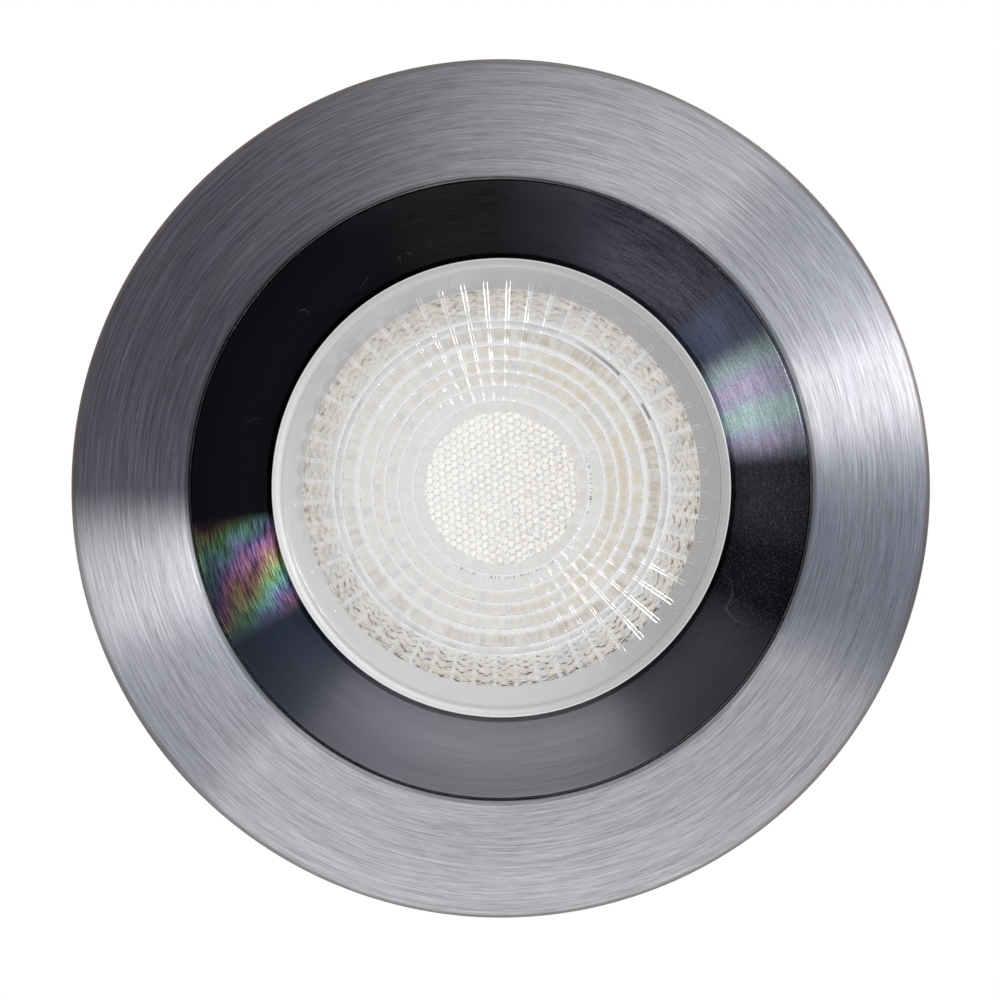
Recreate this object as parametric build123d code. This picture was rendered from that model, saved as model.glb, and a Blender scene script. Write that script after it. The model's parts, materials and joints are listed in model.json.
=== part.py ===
# Round recessed downlight with a brushed trim, a dark conical bezel and a fluted clear lens.
# Millimetres. The origin is the centre of the ceiling plane, +Z points up into the ceiling void,
# and the light leaves towards -Z. Two spring clips at +X and -X hold it in the ceiling.
import math
import os

from build123d import *

# Shared allowances
overrun = 1.0
slip = 0.15

# Trim ring
fascia_lap = 9.2
fascia_thickness = 3.0
fascia_rounding = 0.7
fascia_chamfer = 0.45
trim_gap = 0.25
gasket_thickness = 1.0
gasket_rim = 1.3
gasket_inner_rim = 1.5

# Bezel
bezel_setback = 0.3
bezel_depth = 7.1
bezel_flare = 8.48
bezel_bevel = 0.2
bezel_wall = 1.2
bezel_nose = 1.2

# Lens
lens_radius = 24.6
lens_gap = 0.12
lens_proud = 1.1
lens_rim_width = 1.0
lens_rim_height = 0.4
lens_rim_rounding = 0.3
lens_flange_width = 2.5
lens_flange_thickness = 1.6
lens_tooth_height = 4.4
lens_dome_height = 2.0
flute_count = 56
flute_outer_width = 0.44
flute_inner_width = 0.22
flute_depth = 0.25
flute_end_share = 0.9065
tooth_outer_shares = (0.870, 0.695, 0.630, 0.559, 0.504, 0.447, 0.380)
tooth_inner_shares = (0.728, 0.630, 0.559, 0.504, 0.447, 0.380, 0.337)
tooth_height_shares = (1.0, 0.52, 0.47, 0.42, 0.38, 0.35, 0.32)
tooth_tip_share = 0.14

# Lens seal
lens_gasket_thickness = 1.2
lens_gasket_width = 2.1

# Housing
thread_wall = 1.3
housing_wall = 2.75
spigot_land = 3.35
flange_thickness = 2.0
web_thickness = 4.0
web_width = 7.5
chamber_height = 9.6
chamber_wall = 3.1
clip_flat_depth = 1.3
boss_radius = 2.4
gusset_thickness = 1.4
gusset_height = 6.5
gusset_inset = 0.6
gusset_turn = 10

# Reflector cup
reflector_wall = 1.0
reflector_gap = 0.4
reflector_flange_width = 2.0
reflector_neck_gap = 0.6
reflector_neck_height = 2.2

# Lamp
lamp_margin = 0.55
lamp_clearance = 0.1
lamp_thickness = 1.0
lamp_pad_thickness = 0.4
phosphor_radius = 4.9
phosphor_thickness = 0.45
dam_width = 0.7
dam_height = 0.5
holder_web = 0.8
holder_screw_gap = 1.8
holder_rim = 0.4

# Heat sink
sink_base_thickness = 4.0
fin_height = 23.0
fin_count = 24
fin_root_thickness = 1.9
fin_tip_thickness = 1.2
fin_tip_slope = 3.0
fin_tip_draft = 2.0
hub_wall = 4.0

# Rear cover and cable gland
cover_lap = 1.5
cover_thickness = 2.5
cover_bevel = 0.8
seal_groove_depth = 0.6
seal_width = 0.7
seal_inset = 0.1
gland_across_flats = 15.0
gland_hex_height = 4.0
gland_thread_radius = 5.9
gland_thread_height = 4.5
gland_bore_radius = 3.6
gland_locknut_height = 3.0
gland_seal_bore_radius = 3.2
gland_seal_wall = 1.45
gland_seal_proud = 1.0
gland_cap_height = 5.0
gland_cap_lift = 1.5
gland_cap_dome = 2.5
gland_cap_top_radius = 5.4

# Terminal block and inner leads
block_length = 12.0
block_width = 8.0
block_height = 10.0
terminal_spacing = 6.0
terminal_offset = 2.0
terminal_screw_radius = 1.5
terminal_screw_depth = 1.2
wire_well_radius = 1.1
wire_well_depth = 5.0
lead_radius = 0.6
lead_reach = 2.8
lead_room = 1.7
lead_bend_radius = 2.2
lead_height = 3.5
lead_entry = 1.4
lead_hole_radius = 1.2

# Screws: thread radius, head radius and head height
small_thread = 1.0
small_head = 1.6
small_head_height = 1.4
large_thread = 1.25
large_head = 2.3
large_head_height = 1.8
thread_gap = 0.05
fascia_bite = 2.0
body_bite = 6.0
holder_bite = 2.5
bracket_bite = 3.5
cover_bite = 5.0
block_bite = 2.5
blind_floor = 0.2
screw_start_angle = 90
screw_count = 3

# Spring clips
bracket_thickness = 1.0
bracket_half_width = 6.7
bracket_foot = 2.8
bracket_gap = 0.4
bracket_ear_thickness = 1.0
bracket_ear_radius = 2.2
bracket_ear_gap = 0.4
bracket_screw_inset = 2.7
pivot_drop = 5.1
pin_radius = 1.0
pin_head_radius = 1.6
pin_head_height = 0.6
pin_fixed_gap = 0.03
pin_running_gap = 0.06
arm_thickness = 0.7
arm_drop = 2.2
arm_start = 0.4
arm_ear_thickness = 0.8
arm_ear_radius = 1.9
arm_ear_gap = 0.3
arm_ear_foot = 7.0
arm_curl_radius = 1.3
arm_curl_angle = 115
bead_radius = 1.5
bead_height = 0.4
bead_start = 4.0
bead_end_gap = 1.6
clip_reach = 9.8
clip_lift = 3.6
spring_wire_radius = 0.35
spring_wall_gap = 0.15
spring_pitch = 1.35
spring_whole_turns = 3
spring_fixed_leg = 4.6
spring_arm_leg = 9.0
spring_least_gap = 0.4

# Levels along Z, from the front of the trim to the cable gland
bezel_front = bezel_setback - fascia_thickness
bezel_throat = bezel_front + bezel_depth
lens_land = bezel_throat + bezel_nose
lens_back = lens_land + lens_flange_thickness
shoulder = lens_back + lens_gasket_thickness
web_top = shoulder + web_thickness
sink_seat = web_top + chamber_height
sink_base_top = sink_seat + sink_base_thickness
fin_top = sink_base_top + fin_height
cover_top = fin_top + cover_thickness
gland_shoulder = cover_top + gland_hex_height
gland_mouth = gland_shoulder + gland_thread_height
lamp_face = sink_seat - lamp_pad_thickness - lamp_thickness
holder_face = lamp_face - holder_web
lens_rim_front = bezel_throat - lens_proud
lens_front = lens_rim_front + lens_rim_height

# Radii, from the lens out to the trim
bezel_throat_radius = lens_radius + lens_gap
bezel_radius = bezel_throat_radius + bezel_flare
bezel_rise = bezel_depth / (bezel_flare - bezel_bevel)
bezel_back_lift = bezel_wall * math.hypot(1, bezel_rise)
lens_flange_radius = lens_radius + lens_flange_width
thread_inner_radius = lens_flange_radius + bezel_bevel
thread_radius = thread_inner_radius + thread_wall
housing_bore = thread_radius + slip
housing_radius = housing_bore + housing_wall
chamber_radius = housing_radius - chamber_wall
web_radius = housing_radius - web_width
fascia_bore = bezel_radius + trim_gap
spigot_radius = fascia_bore + spigot_land
fascia_radius = spigot_radius + fascia_lap
fascia_screw_circle = (fascia_bore + spigot_radius) / 2
reflector_neck_radius = phosphor_radius + dam_width + reflector_neck_gap
lamp_side = (reflector_neck_radius + lamp_margin) * 2
sink_radius = housing_radius
lead_y = block_length / 2 + lead_reach
hub_inner_radius = lead_y + lead_room
hub_radius = hub_inner_radius + hub_wall
body_screw_circle = chamber_radius - boss_radius + bezel_bevel
holder_screw_circle = reflector_neck_radius + reflector_wall + holder_screw_gap + large_head
holder_radius = holder_screw_circle + large_head + holder_rim
cover_radius = hub_radius + cover_lap
cover_screw_circle = hub_inner_radius + hub_wall / 2
seal_inner_radius = hub_inner_radius + seal_inset

# Clip frame: the hinge axis is along Y, u runs out along the arm and w stands up from it
flat_x = housing_radius - clip_flat_depth
bracket_face = flat_x + bracket_thickness
pivot_stand_off = arm_ear_radius + arm_ear_gap
pivot_x = bracket_face + pivot_stand_off
bracket_top = sink_seat - bracket_gap
pivot_z = bracket_top - pivot_drop
bracket_screw_z = (shoulder + web_top) / 2
bracket_screw_y = bracket_half_width - bracket_screw_inset
spring_coil_radius = pivot_stand_off - spring_wire_radius - spring_wall_gap
arm_half_width = bracket_half_width - bracket_ear_thickness - bracket_ear_gap
arm_middle = arm_drop + arm_thickness / 2
curl_w = arm_curl_radius - arm_middle
curl_outer = arm_curl_radius + arm_thickness / 2
curl_inner = arm_curl_radius - arm_thickness / 2
curl_rise = clip_lift + curl_outer - pivot_z
curl_distance = math.hypot(clip_reach, curl_rise)
curl_u = math.sqrt(curl_distance**2 - curl_w**2)
arm_angle = math.degrees(math.atan2(curl_rise, clip_reach) - math.atan2(curl_w, curl_u))


def turned(*corners):
    """Solid turned about Z from (radius, height) or (radius, height, rounding) corners."""
    points = [corner[:2] for corner in corners]
    roundings = [corner[2] if len(corner) > 2 else 0 for corner in corners]
    outline = FilletPolyline(*points, radius=roundings, close=True)
    return revolve(Plane.XZ * make_face(outline), Axis.Z)


def round_bar(radius, low, high, x=0, y=0):
    """Upright cylinder between two levels."""
    upright = (Align.CENTER, Align.CENTER, Align.MIN)
    return Pos(x, y, low) * Cylinder(radius, high - low, align=upright)


def block(length, width, low, high, x=0, y=0):
    """Upright box between two levels."""
    upright = (Align.CENTER, Align.CENTER, Align.MIN)
    return Pos(x, y, low) * Box(length, width, high - low, align=upright)


def hexagon(low, high):
    """Hexagonal bar with the gland's width across flats."""
    shape = RegularPolygon(gland_across_flats / math.sqrt(3), 6)
    return Pos(0, 0, low) * extrude(shape, high - low)


def around(count, start, circle_radius):
    """Places spread evenly on a circle, each turned to face outwards."""
    return [Rot(0, 0, start + 360 * i / count) * Pos(circle_radius, 0, 0) for i in range(count)]


def screw(thread, head, head_height, bite):
    """Screw seated at zero: head above, plain shank below."""
    return turned(
        (0, -bite),
        (thread, -bite),
        (thread, 0),
        (head, 0),
        (head, head_height / 2),
        (head - head_height / 2, head_height),
        (0, head_height),
    )


def bezel_front_height(radius):
    """Height of the bezel's visible cone at a radius."""
    return bezel_throat - (radius - bezel_throat_radius) * bezel_rise


def bezel_back_height(radius):
    """Height of the bezel's back at a radius."""
    return bezel_front_height(radius) + bezel_back_lift


def make_fascia_ring():
    groove_outer = fascia_radius - gasket_rim
    groove_inner = spigot_radius + gasket_inner_rim
    ring = turned(
        (fascia_bore, 0),
        (fascia_bore, fascia_chamfer - fascia_thickness),
        (fascia_bore + fascia_chamfer, -fascia_thickness),
        (fascia_radius, -fascia_thickness, fascia_rounding),
        (fascia_radius, 0),
        (groove_outer, 0),
        (groove_outer, -gasket_thickness),
        (groove_inner, -gasket_thickness),
        (groove_inner, 0),
    )
    hole = round_bar(small_thread + thread_gap, -fascia_bite - blind_floor, overrun)
    for place in around(screw_count, screw_start_angle, fascia_screw_circle):
        ring -= place * hole
    return ring


def make_ceiling_gasket():
    outer = fascia_radius - gasket_rim - slip
    inner = spigot_radius + gasket_inner_rim + slip
    return turned((inner, -gasket_thickness), (outer, -gasket_thickness), (outer, 0), (inner, 0))


def make_fascia_screws():
    one = Pos(0, 0, flange_thickness) * screw(
        small_thread, small_head, small_head_height, flange_thickness + fascia_bite
    )
    return [place * one for place in around(screw_count, screw_start_angle, fascia_screw_circle)]


def make_front_bezel():
    lip_radius = bezel_throat_radius + (bezel_throat + bezel_back_lift) / bezel_rise
    return turned(
        (bezel_throat_radius, bezel_throat),
        (bezel_radius - bezel_bevel, bezel_front),
        (bezel_radius, bezel_front + bezel_bevel),
        (bezel_radius, 0),
        (lip_radius, 0),
        (thread_radius, bezel_back_height(thread_radius)),
        (thread_radius, shoulder - lens_gasket_thickness + bezel_setback),
        (thread_inner_radius, shoulder - lens_gasket_thickness + bezel_setback),
        (thread_inner_radius, lens_land),
        (bezel_throat_radius, lens_land),
    )


def lens_outline():
    """Half section of the lens: rimmed front, clamping flange, ring teeth and centre dome."""
    points = [
        (0, lens_front),
        (lens_radius - lens_rim_width, lens_front),
        (lens_radius - lens_rim_width, lens_rim_front),
        (lens_radius - lens_rim_rounding, lens_rim_front),
        (lens_radius, lens_rim_front + lens_rim_rounding),
        (lens_radius, lens_land),
        (lens_flange_radius, lens_land),
        (lens_flange_radius, lens_back),
    ]
    for outer_share, inner_share, height_share in zip(
        tooth_outer_shares, tooth_inner_shares, tooth_height_shares
    ):
        outer = outer_share * lens_radius
        inner = inner_share * lens_radius
        tip = inner + tooth_tip_share * (outer - inner)
        if points[-1] != (outer, lens_back):
            points.append((outer, lens_back))
        points.append((tip, lens_back + height_share * lens_tooth_height))
        points.append((inner, lens_back))
    points.append((0, lens_back))
    return points


def make_lens():
    body = revolve(Plane.XZ * make_face(Polyline(*lens_outline(), close=True)), Axis.Z)
    dome_radius = tooth_inner_shares[-1] * lens_radius
    ball_radius = (dome_radius**2 + lens_dome_height**2) / (2 * lens_dome_height)
    ball = Pos(0, 0, lens_back + lens_dome_height - ball_radius) * Sphere(ball_radius)
    body += ball & round_bar(dome_radius, lens_back, lens_back + lens_dome_height)
    slots = [Rot(0, 0, 360 * i / flute_count) * flute_cutter() for i in range(flute_count)]
    return body - slots


def flute_cutter():
    """Tapered slot along +X with a round outer end, cut into the front face of the lens."""
    inner_end = tooth_inner_shares[-1] * lens_radius
    outer_end = flute_end_share * lens_radius - flute_outer_width / 2
    outline = [
        Line((inner_end, -flute_inner_width / 2), (outer_end, -flute_outer_width / 2)),
        CenterArc((outer_end, 0), flute_outer_width / 2, -90, 180),
        Line((outer_end, flute_outer_width / 2), (inner_end, flute_inner_width / 2)),
        Line((inner_end, flute_inner_width / 2), (inner_end, -flute_inner_width / 2)),
    ]
    plan = Pos(0, 0, lens_front - overrun) * make_face(outline)
    return extrude(plan, flute_depth + overrun)


def make_lens_gasket():
    outer = lens_flange_radius
    inner = outer - lens_gasket_width
    return turned((inner, lens_back), (outer, lens_back), (outer, shoulder), (inner, shoulder))


def make_housing():
    body = turned(
        (bezel_throat_radius + (bezel_throat + bezel_back_lift) / bezel_rise + slip, 0),
        (spigot_radius, 0),
        (spigot_radius, flange_thickness),
        (housing_radius, flange_thickness),
        (housing_radius, sink_seat),
        (chamber_radius, sink_seat),
        (chamber_radius, web_top),
        (web_radius, web_top),
        (web_radius, shoulder),
        (housing_bore, shoulder),
        (housing_bore, bezel_back_height(thread_radius)),
    )
    boss = round_bar(boss_radius, shoulder + overrun, sink_seat)
    for place in around(screw_count, screw_start_angle, body_screw_circle):
        body += place * boss
    fascia_hole = round_bar(small_thread + thread_gap, -overrun, flange_thickness + overrun)
    body_hole = round_bar(
        large_thread + thread_gap, sink_seat - body_bite - blind_floor, sink_seat + overrun
    )
    for place in around(screw_count, screw_start_angle, fascia_screw_circle):
        body -= place * fascia_hole
    for place in around(screw_count, screw_start_angle, body_screw_circle):
        body -= place * body_hole
    for turn in (0, 180):
        body -= Rot(0, 0, turn) * flat_cutter()
        for place in bracket_screw_places():
            hole = round_bar(small_thread + thread_gap, -bracket_bite - blind_floor, 0)
            body -= Rot(0, 0, turn) * Pos(flat_x - bracket_face, 0, 0) * place * hole
    web = gusset()
    for turn in (-gusset_turn, gusset_turn):
        body += [place * web for place in around(screw_count, screw_start_angle + turn, 0)]
    return body


def gusset():
    """Web that stiffens the flange beside a trim screw."""
    side = Polyline(
        (housing_radius - overrun, flange_thickness - overrun),
        (spigot_radius - gusset_inset, flange_thickness - overrun),
        (spigot_radius - gusset_inset, flange_thickness),
        (housing_radius, flange_thickness + gusset_height),
        (housing_radius - overrun, flange_thickness + gusset_height),
        close=True,
    )
    return extrude(Plane.XZ * make_face(side), gusset_thickness / 2, both=True)


def flat_cutter():
    """Block that mills the flat seat of the right-hand clip bracket."""
    return block(
        clip_flat_depth + overrun,
        housing_radius * 2,
        flange_thickness,
        sink_seat + overrun,
        x=flat_x + (clip_flat_depth + overrun) / 2,
    )


def make_reflector_cup():
    outer = web_radius - reflector_gap
    inner = outer - reflector_wall
    neck = reflector_neck_radius + reflector_wall
    neck_level = holder_face - reflector_neck_height
    rise = (neck_level - web_top) / (inner - reflector_neck_radius)
    lift = reflector_wall * math.hypot(1, rise)
    flange = outer + reflector_flange_width
    flange_top = web_top + reflector_wall
    foot = inner - (flange_top - web_top - lift) / rise
    cup = turned(
        (inner, shoulder + reflector_gap),
        (outer, shoulder + reflector_gap),
        (outer, web_top),
        (flange, web_top),
        (flange, flange_top),
        (foot, flange_top),
        (neck, neck_level - (neck - reflector_neck_radius) * rise + lift),
        (neck, holder_face),
        (reflector_neck_radius, holder_face),
        (reflector_neck_radius, neck_level),
        (inner, web_top),
    )
    notch = round_bar(boss_radius + reflector_gap, shoulder, sink_seat)
    for place in around(screw_count, screw_start_angle, body_screw_circle):
        cup -= place * notch
    return cup


def holder_screw_places():
    return around(2, 0, holder_screw_circle)


def make_cob_holder():
    body = round_bar(holder_radius, holder_face, sink_seat)
    pocket = lamp_side + lamp_clearance * 2
    body -= block(pocket, pocket, lamp_face, sink_seat + overrun)
    body -= round_bar(reflector_neck_radius, holder_face - overrun, sink_seat)
    for place in holder_screw_places():
        body -= place * round_bar(small_thread + thread_gap, holder_face - overrun, sink_seat + overrun)
    for y in (-lead_y, lead_y):
        body -= round_bar(lead_radius + thread_gap, sink_seat - lead_entry, sink_seat + overrun, y=y)
    return body


def make_holder_screws():
    one = screw(small_thread, large_head, small_head_height, sink_seat - holder_face + holder_bite)
    flipped = Pos(0, 0, holder_face) * Rot(180, 0, 0) * one
    return [place * flipped for place in holder_screw_places()]


def make_cob_substrate():
    return block(lamp_side, lamp_side, lamp_face, lamp_face + lamp_thickness)


def make_cob_dam():
    outer = phosphor_radius + dam_width
    low = lamp_face - dam_height
    inner = phosphor_radius
    return turned((inner, low), (outer, low), (outer, lamp_face), (inner, lamp_face))


def make_cob_phosphor():
    return round_bar(phosphor_radius, lamp_face - phosphor_thickness, lamp_face)


def make_thermal_pad():
    return block(lamp_side, lamp_side, lamp_face + lamp_thickness, sink_seat)


def fin():
    """One fin, drafted from its root up to its tip."""
    side = Polyline(
        (hub_radius - overrun, sink_base_top - overrun),
        (sink_radius, sink_base_top - overrun),
        (sink_radius, fin_top - fin_tip_slope),
        (sink_radius - fin_tip_draft, fin_top),
        (hub_radius - overrun, fin_top),
        close=True,
    )
    draft = Polyline(
        (-fin_root_thickness / 2, sink_base_top - overrun),
        (fin_root_thickness / 2, sink_base_top - overrun),
        (fin_tip_thickness / 2, fin_top),
        (-fin_tip_thickness / 2, fin_top),
        close=True,
    )
    plate = extrude(Plane.XZ * make_face(side), fin_root_thickness, both=True)
    return plate & extrude(Plane.YZ * make_face(draft), sink_radius + overrun)


def make_heat_sink():
    body = round_bar(sink_radius, sink_seat, sink_base_top)
    body += round_bar(hub_radius, sink_base_top, fin_top)
    half_pitch = 360 / fin_count / 2
    one = fin()
    body += [place * one for place in around(fin_count, half_pitch, 0)]
    body -= round_bar(hub_inner_radius, sink_base_top, fin_top + overrun)
    for place in around(screw_count, screw_start_angle, body_screw_circle):
        body -= place * round_bar(large_thread + thread_gap, sink_seat - overrun, sink_base_top)
        body -= place * round_bar(large_head + slip, sink_base_top, fin_top + overrun)
    for place in holder_screw_places():
        top = sink_seat + holder_bite + blind_floor
        body -= place * round_bar(small_thread + thread_gap, sink_seat - overrun, top)
    for place in cover_screw_places():
        low = fin_top - cover_bite - blind_floor
        body -= place * round_bar(small_thread + thread_gap, low, fin_top + overrun)
    for y in (-lead_y, lead_y):
        body -= round_bar(lead_hole_radius, sink_seat - overrun, sink_base_top + overrun, y=y)
    low = sink_base_top - block_bite - blind_floor
    return body - round_bar(small_thread + thread_gap, low, sink_base_top + overrun)


def make_body_screws():
    one = Pos(0, 0, sink_base_top) * screw(
        large_thread, large_head, large_head_height, sink_base_thickness + body_bite
    )
    return [place * one for place in around(screw_count, screw_start_angle, body_screw_circle)]


def make_terminal_block():
    top = sink_base_top + block_height
    body = block(block_width, block_length, sink_base_top, top)
    for side in (-1, 1):
        y = side * terminal_spacing / 2
        body -= round_bar(
            terminal_screw_radius + slip, top - terminal_screw_depth, top + overrun, terminal_offset, y
        )
        body -= round_bar(wire_well_radius, top - wire_well_depth, top + overrun, -terminal_offset, y)
        body -= Pos(0, side * (block_length / 2 - lead_entry / 2), sink_base_top + lead_height) * (
            Rot(90, 0, 0) * Cylinder(lead_radius + thread_gap, lead_entry)
        )
    body -= round_bar(small_head + slip, top - small_head_height, top + overrun)
    return body - round_bar(small_thread + thread_gap, sink_base_top - overrun, top)


def make_block_screw():
    seat = sink_base_top + block_height - small_head_height
    bite = block_height - small_head_height + block_bite
    return Pos(0, 0, seat) * screw(small_thread, small_head, small_head_height, bite)


def make_terminal_screws():
    top = sink_base_top + block_height
    low = top - terminal_screw_depth
    return [
        round_bar(terminal_screw_radius, low, top, terminal_offset, y)
        for y in (-terminal_spacing / 2, terminal_spacing / 2)
    ]


def make_lead(side):
    height = sink_base_top + lead_height
    start = (0, side * (block_length / 2 - lead_entry), height)
    corner = (0, side * lead_y, height)
    end = (0, side * lead_y, sink_seat - lead_entry)
    path = FilletPolyline(start, corner, end, radius=[lead_bend_radius])
    section = Plane(origin=start, z_dir=(0, side, 0)) * Circle(lead_radius)
    return sweep(section, path=path)


def cover_screw_places():
    return around(screw_count, screw_start_angle + 180, cover_screw_circle)


def make_rear_cover():
    outer = seal_inner_radius + seal_width
    body = turned(
        (gland_thread_radius + thread_gap, fin_top),
        (seal_inner_radius, fin_top),
        (seal_inner_radius, fin_top + seal_groove_depth),
        (outer, fin_top + seal_groove_depth),
        (outer, fin_top),
        (cover_radius, fin_top),
        (cover_radius, cover_top - cover_bevel),
        (cover_radius - cover_bevel, cover_top),
        (gland_thread_radius + thread_gap, cover_top),
    )
    for place in cover_screw_places():
        body -= place * round_bar(small_thread + thread_gap, fin_top - overrun, cover_top + overrun)
    return body


def make_cover_seal():
    inner = seal_inner_radius + thread_gap
    outer = seal_inner_radius + seal_width - thread_gap
    top = fin_top + seal_groove_depth
    return turned((inner, fin_top), (outer, fin_top), (outer, top), (inner, top))


def make_cover_screws():
    one = Pos(0, 0, cover_top) * screw(
        small_thread, small_head, small_head_height, cover_thickness + cover_bite
    )
    return [place * one for place in cover_screw_places()]


def make_gland_body():
    stub = round_bar(gland_thread_radius, fin_top - gland_locknut_height, gland_mouth)
    body = stub + hexagon(cover_top, gland_shoulder)
    body -= round_bar(gland_bore_radius, fin_top - gland_locknut_height - overrun, gland_mouth)
    seat = gland_mouth - gland_thread_height
    return body - round_bar(gland_seal_bore_radius + gland_seal_wall, seat, gland_mouth + overrun)


def make_gland_locknut():
    low = fin_top - gland_locknut_height
    bore = round_bar(gland_thread_radius + thread_gap, low - overrun, fin_top + overrun)
    return hexagon(low, fin_top) - bore


def make_gland_seal():
    outer = gland_seal_bore_radius + gland_seal_wall
    low = gland_mouth - gland_thread_height
    top = gland_mouth + gland_seal_proud
    return turned(
        (gland_seal_bore_radius, low), (outer, low), (outer, top), (gland_seal_bore_radius, top)
    )


def make_gland_cap():
    low = gland_shoulder + gland_cap_lift
    waist = low + gland_cap_height
    top = waist + gland_cap_dome
    inside = gland_mouth + gland_seal_proud
    dome = turned(
        (0, waist),
        (gland_across_flats / 2, waist),
        (gland_across_flats / 2, waist + gland_cap_dome / 3),
        (gland_cap_top_radius, top),
        (0, top),
    )
    body = hexagon(low, waist) + dome
    body -= round_bar(gland_thread_radius + thread_gap, low - overrun, inside)
    return body - round_bar(gland_bore_radius, low, top + overrun)


def bracket_screw_places():
    """Places on the outer face of the right-hand bracket, each with +Z pointing out."""
    return [
        Pos(bracket_face, y, bracket_screw_z) * Rot(0, 90, 0)
        for y in (-bracket_screw_y, bracket_screw_y)
    ]


def make_clip_bracket():
    low = bracket_screw_z - bracket_foot
    body = block(
        bracket_thickness, bracket_half_width * 2, low, bracket_top, x=flat_x + bracket_thickness / 2
    )
    ear = Pos(pivot_x, 0, pivot_z) * Rot(90, 0, 0) * Cylinder(bracket_ear_radius, bracket_ear_thickness)
    ear += block(
        pivot_x - flat_x,
        bracket_ear_thickness,
        pivot_z - bracket_ear_radius,
        pivot_z + bracket_ear_radius,
        x=(pivot_x + flat_x) / 2,
    )
    ear_y = bracket_half_width - bracket_ear_thickness / 2
    body += [Pos(0, -ear_y, 0) * ear, Pos(0, ear_y, 0) * ear]
    bore = Cylinder(pin_radius + pin_fixed_gap, (bracket_half_width + overrun) * 2)
    body -= Pos(pivot_x, 0, pivot_z) * Rot(90, 0, 0) * bore
    hole = round_bar(small_thread + thread_gap, -bracket_thickness - overrun, overrun)
    return body - [place * hole for place in bracket_screw_places()]


def make_bracket_screws():
    one = screw(small_thread, small_head, small_head_height, bracket_thickness + bracket_bite)
    return [Rot(0, 0, turn) * place * one for turn in (0, 180) for place in bracket_screw_places()]


def make_clip_pin():
    end = bracket_half_width + pin_head_height
    return (
        Pos(pivot_x, 0, pivot_z)
        * Rot(90, 0, 0)
        * turned(
            (0, -end),
            (pin_head_radius, -end),
            (pin_head_radius, -bracket_half_width),
            (pin_radius, -bracket_half_width),
            (pin_radius, bracket_half_width),
            (pin_head_radius, bracket_half_width),
            (pin_head_radius, end),
            (0, end),
        )
    )


def arm_place():
    """Place that lays the arm's own u and w directions at the hinge, at the rest angle."""
    return Pos(pivot_x, 0, pivot_z) * Rot(0, -arm_angle, 0)


def bead(radius):
    """Round-ended bar along the arm, for the two sides of its pressed bead."""
    level = bead_radius - bead_height - arm_drop - arm_thickness
    end = curl_u - bead_end_gap
    upright = (Align.CENTER, Align.CENTER, Align.MIN)
    bar = Pos(bead_start, 0, level) * Rot(0, 90, 0) * Cylinder(radius, end - bead_start, align=upright)
    return bar + [Pos(u, 0, level) * Sphere(radius) for u in (bead_start, end)]


def make_clip_arm():
    bottom = -arm_drop - arm_thickness
    strip = make_face(
        Polyline(
            (arm_start, bottom),
            (curl_u, bottom),
            (curl_u, -arm_drop),
            (arm_start, -arm_drop),
            close=True,
        )
    )
    outer_arc = CenterArc((curl_u, curl_w), curl_outer, -90, arm_curl_angle)
    inner_arc = CenterArc((curl_u, curl_w), curl_inner, -90, arm_curl_angle)
    start_line = Line(outer_arc @ 0, inner_arc @ 0)
    end_line = Line(outer_arc @ 1, inner_arc @ 1)
    curl = make_face([outer_arc, end_line, inner_arc, start_line])
    body = extrude(Plane.XZ * (strip + curl), arm_half_width, both=True)
    under = Box(curl_u * 2, arm_half_width * 2, bead_radius * 2)
    body += bead(bead_radius) & Pos(0, 0, -arm_drop - bead_radius) * under
    body -= bead(bead_radius - arm_thickness)
    cheek = make_face(
        Polyline(
            (0, 0),
            (arm_start, bottom),
            (arm_ear_foot, bottom),
            (arm_ear_foot, -arm_drop),
            (arm_ear_radius, 0),
            close=True,
        )
    )
    ear = extrude(Plane.XZ * (cheek + Circle(arm_ear_radius)), arm_ear_thickness / 2, both=True)
    ear_y = arm_half_width - arm_ear_thickness / 2
    body += [Pos(0, -ear_y, 0) * ear, Pos(0, ear_y, 0) * ear]
    body -= Rot(90, 0, 0) * Cylinder(pin_radius + pin_running_gap, arm_half_width * 3)
    return arm_place() * body


def biarc(start, start_way, end, end_way):
    """Two arcs that leave start along start_way and reach end along end_way."""
    chord = end - start
    ways = start_way + end_way
    bend = 2 * (1 - start_way.dot(end_way))
    along = chord.dot(ways)
    reach = (-along + math.sqrt(along**2 + bend * chord.dot(chord))) / bend
    middle = (start + end + (start_way - end_way) * reach) / 2
    middle_way = (chord - ways * reach).normalized()
    return [
        Edge.make_tangent_arc(start, start_way, middle),
        Edge.make_tangent_arc(middle, middle_way, end),
    ]


def spring_path():
    """Centre line of the right-hand spring: fixed leg, coil in quarter turns, arm leg."""
    sweep_angle = math.radians(arm_angle + 90 + 360 * spring_whole_turns)
    rise = spring_pitch / (2 * math.pi)
    half_length = sweep_angle * rise / 2
    spans = round(sweep_angle / (math.pi / 2))
    points = []
    ways = []
    for i in range(spans + 1):
        turned_angle = sweep_angle * i / spans
        angle = math.pi + turned_angle
        climb = rise if 0 < i < spans else 0
        x = spring_coil_radius * math.cos(angle)
        z = spring_coil_radius * math.sin(angle)
        points.append(Vector(pivot_x + x, turned_angle * rise - half_length, pivot_z + z))
        way = Vector(
            -spring_coil_radius * math.sin(angle), climb, spring_coil_radius * math.cos(angle)
        )
        ways.append(way.normalized())
    start = points[0] - ways[0] * spring_fixed_leg
    end = points[-1] + ways[-1] * spring_arm_leg
    edges = [Edge.make_line(start, points[0])]
    for i in range(spans):
        edges += biarc(points[i], ways[i], points[i + 1], ways[i + 1])
    edges.append(Edge.make_line(points[-1], end))
    return edges


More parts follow.
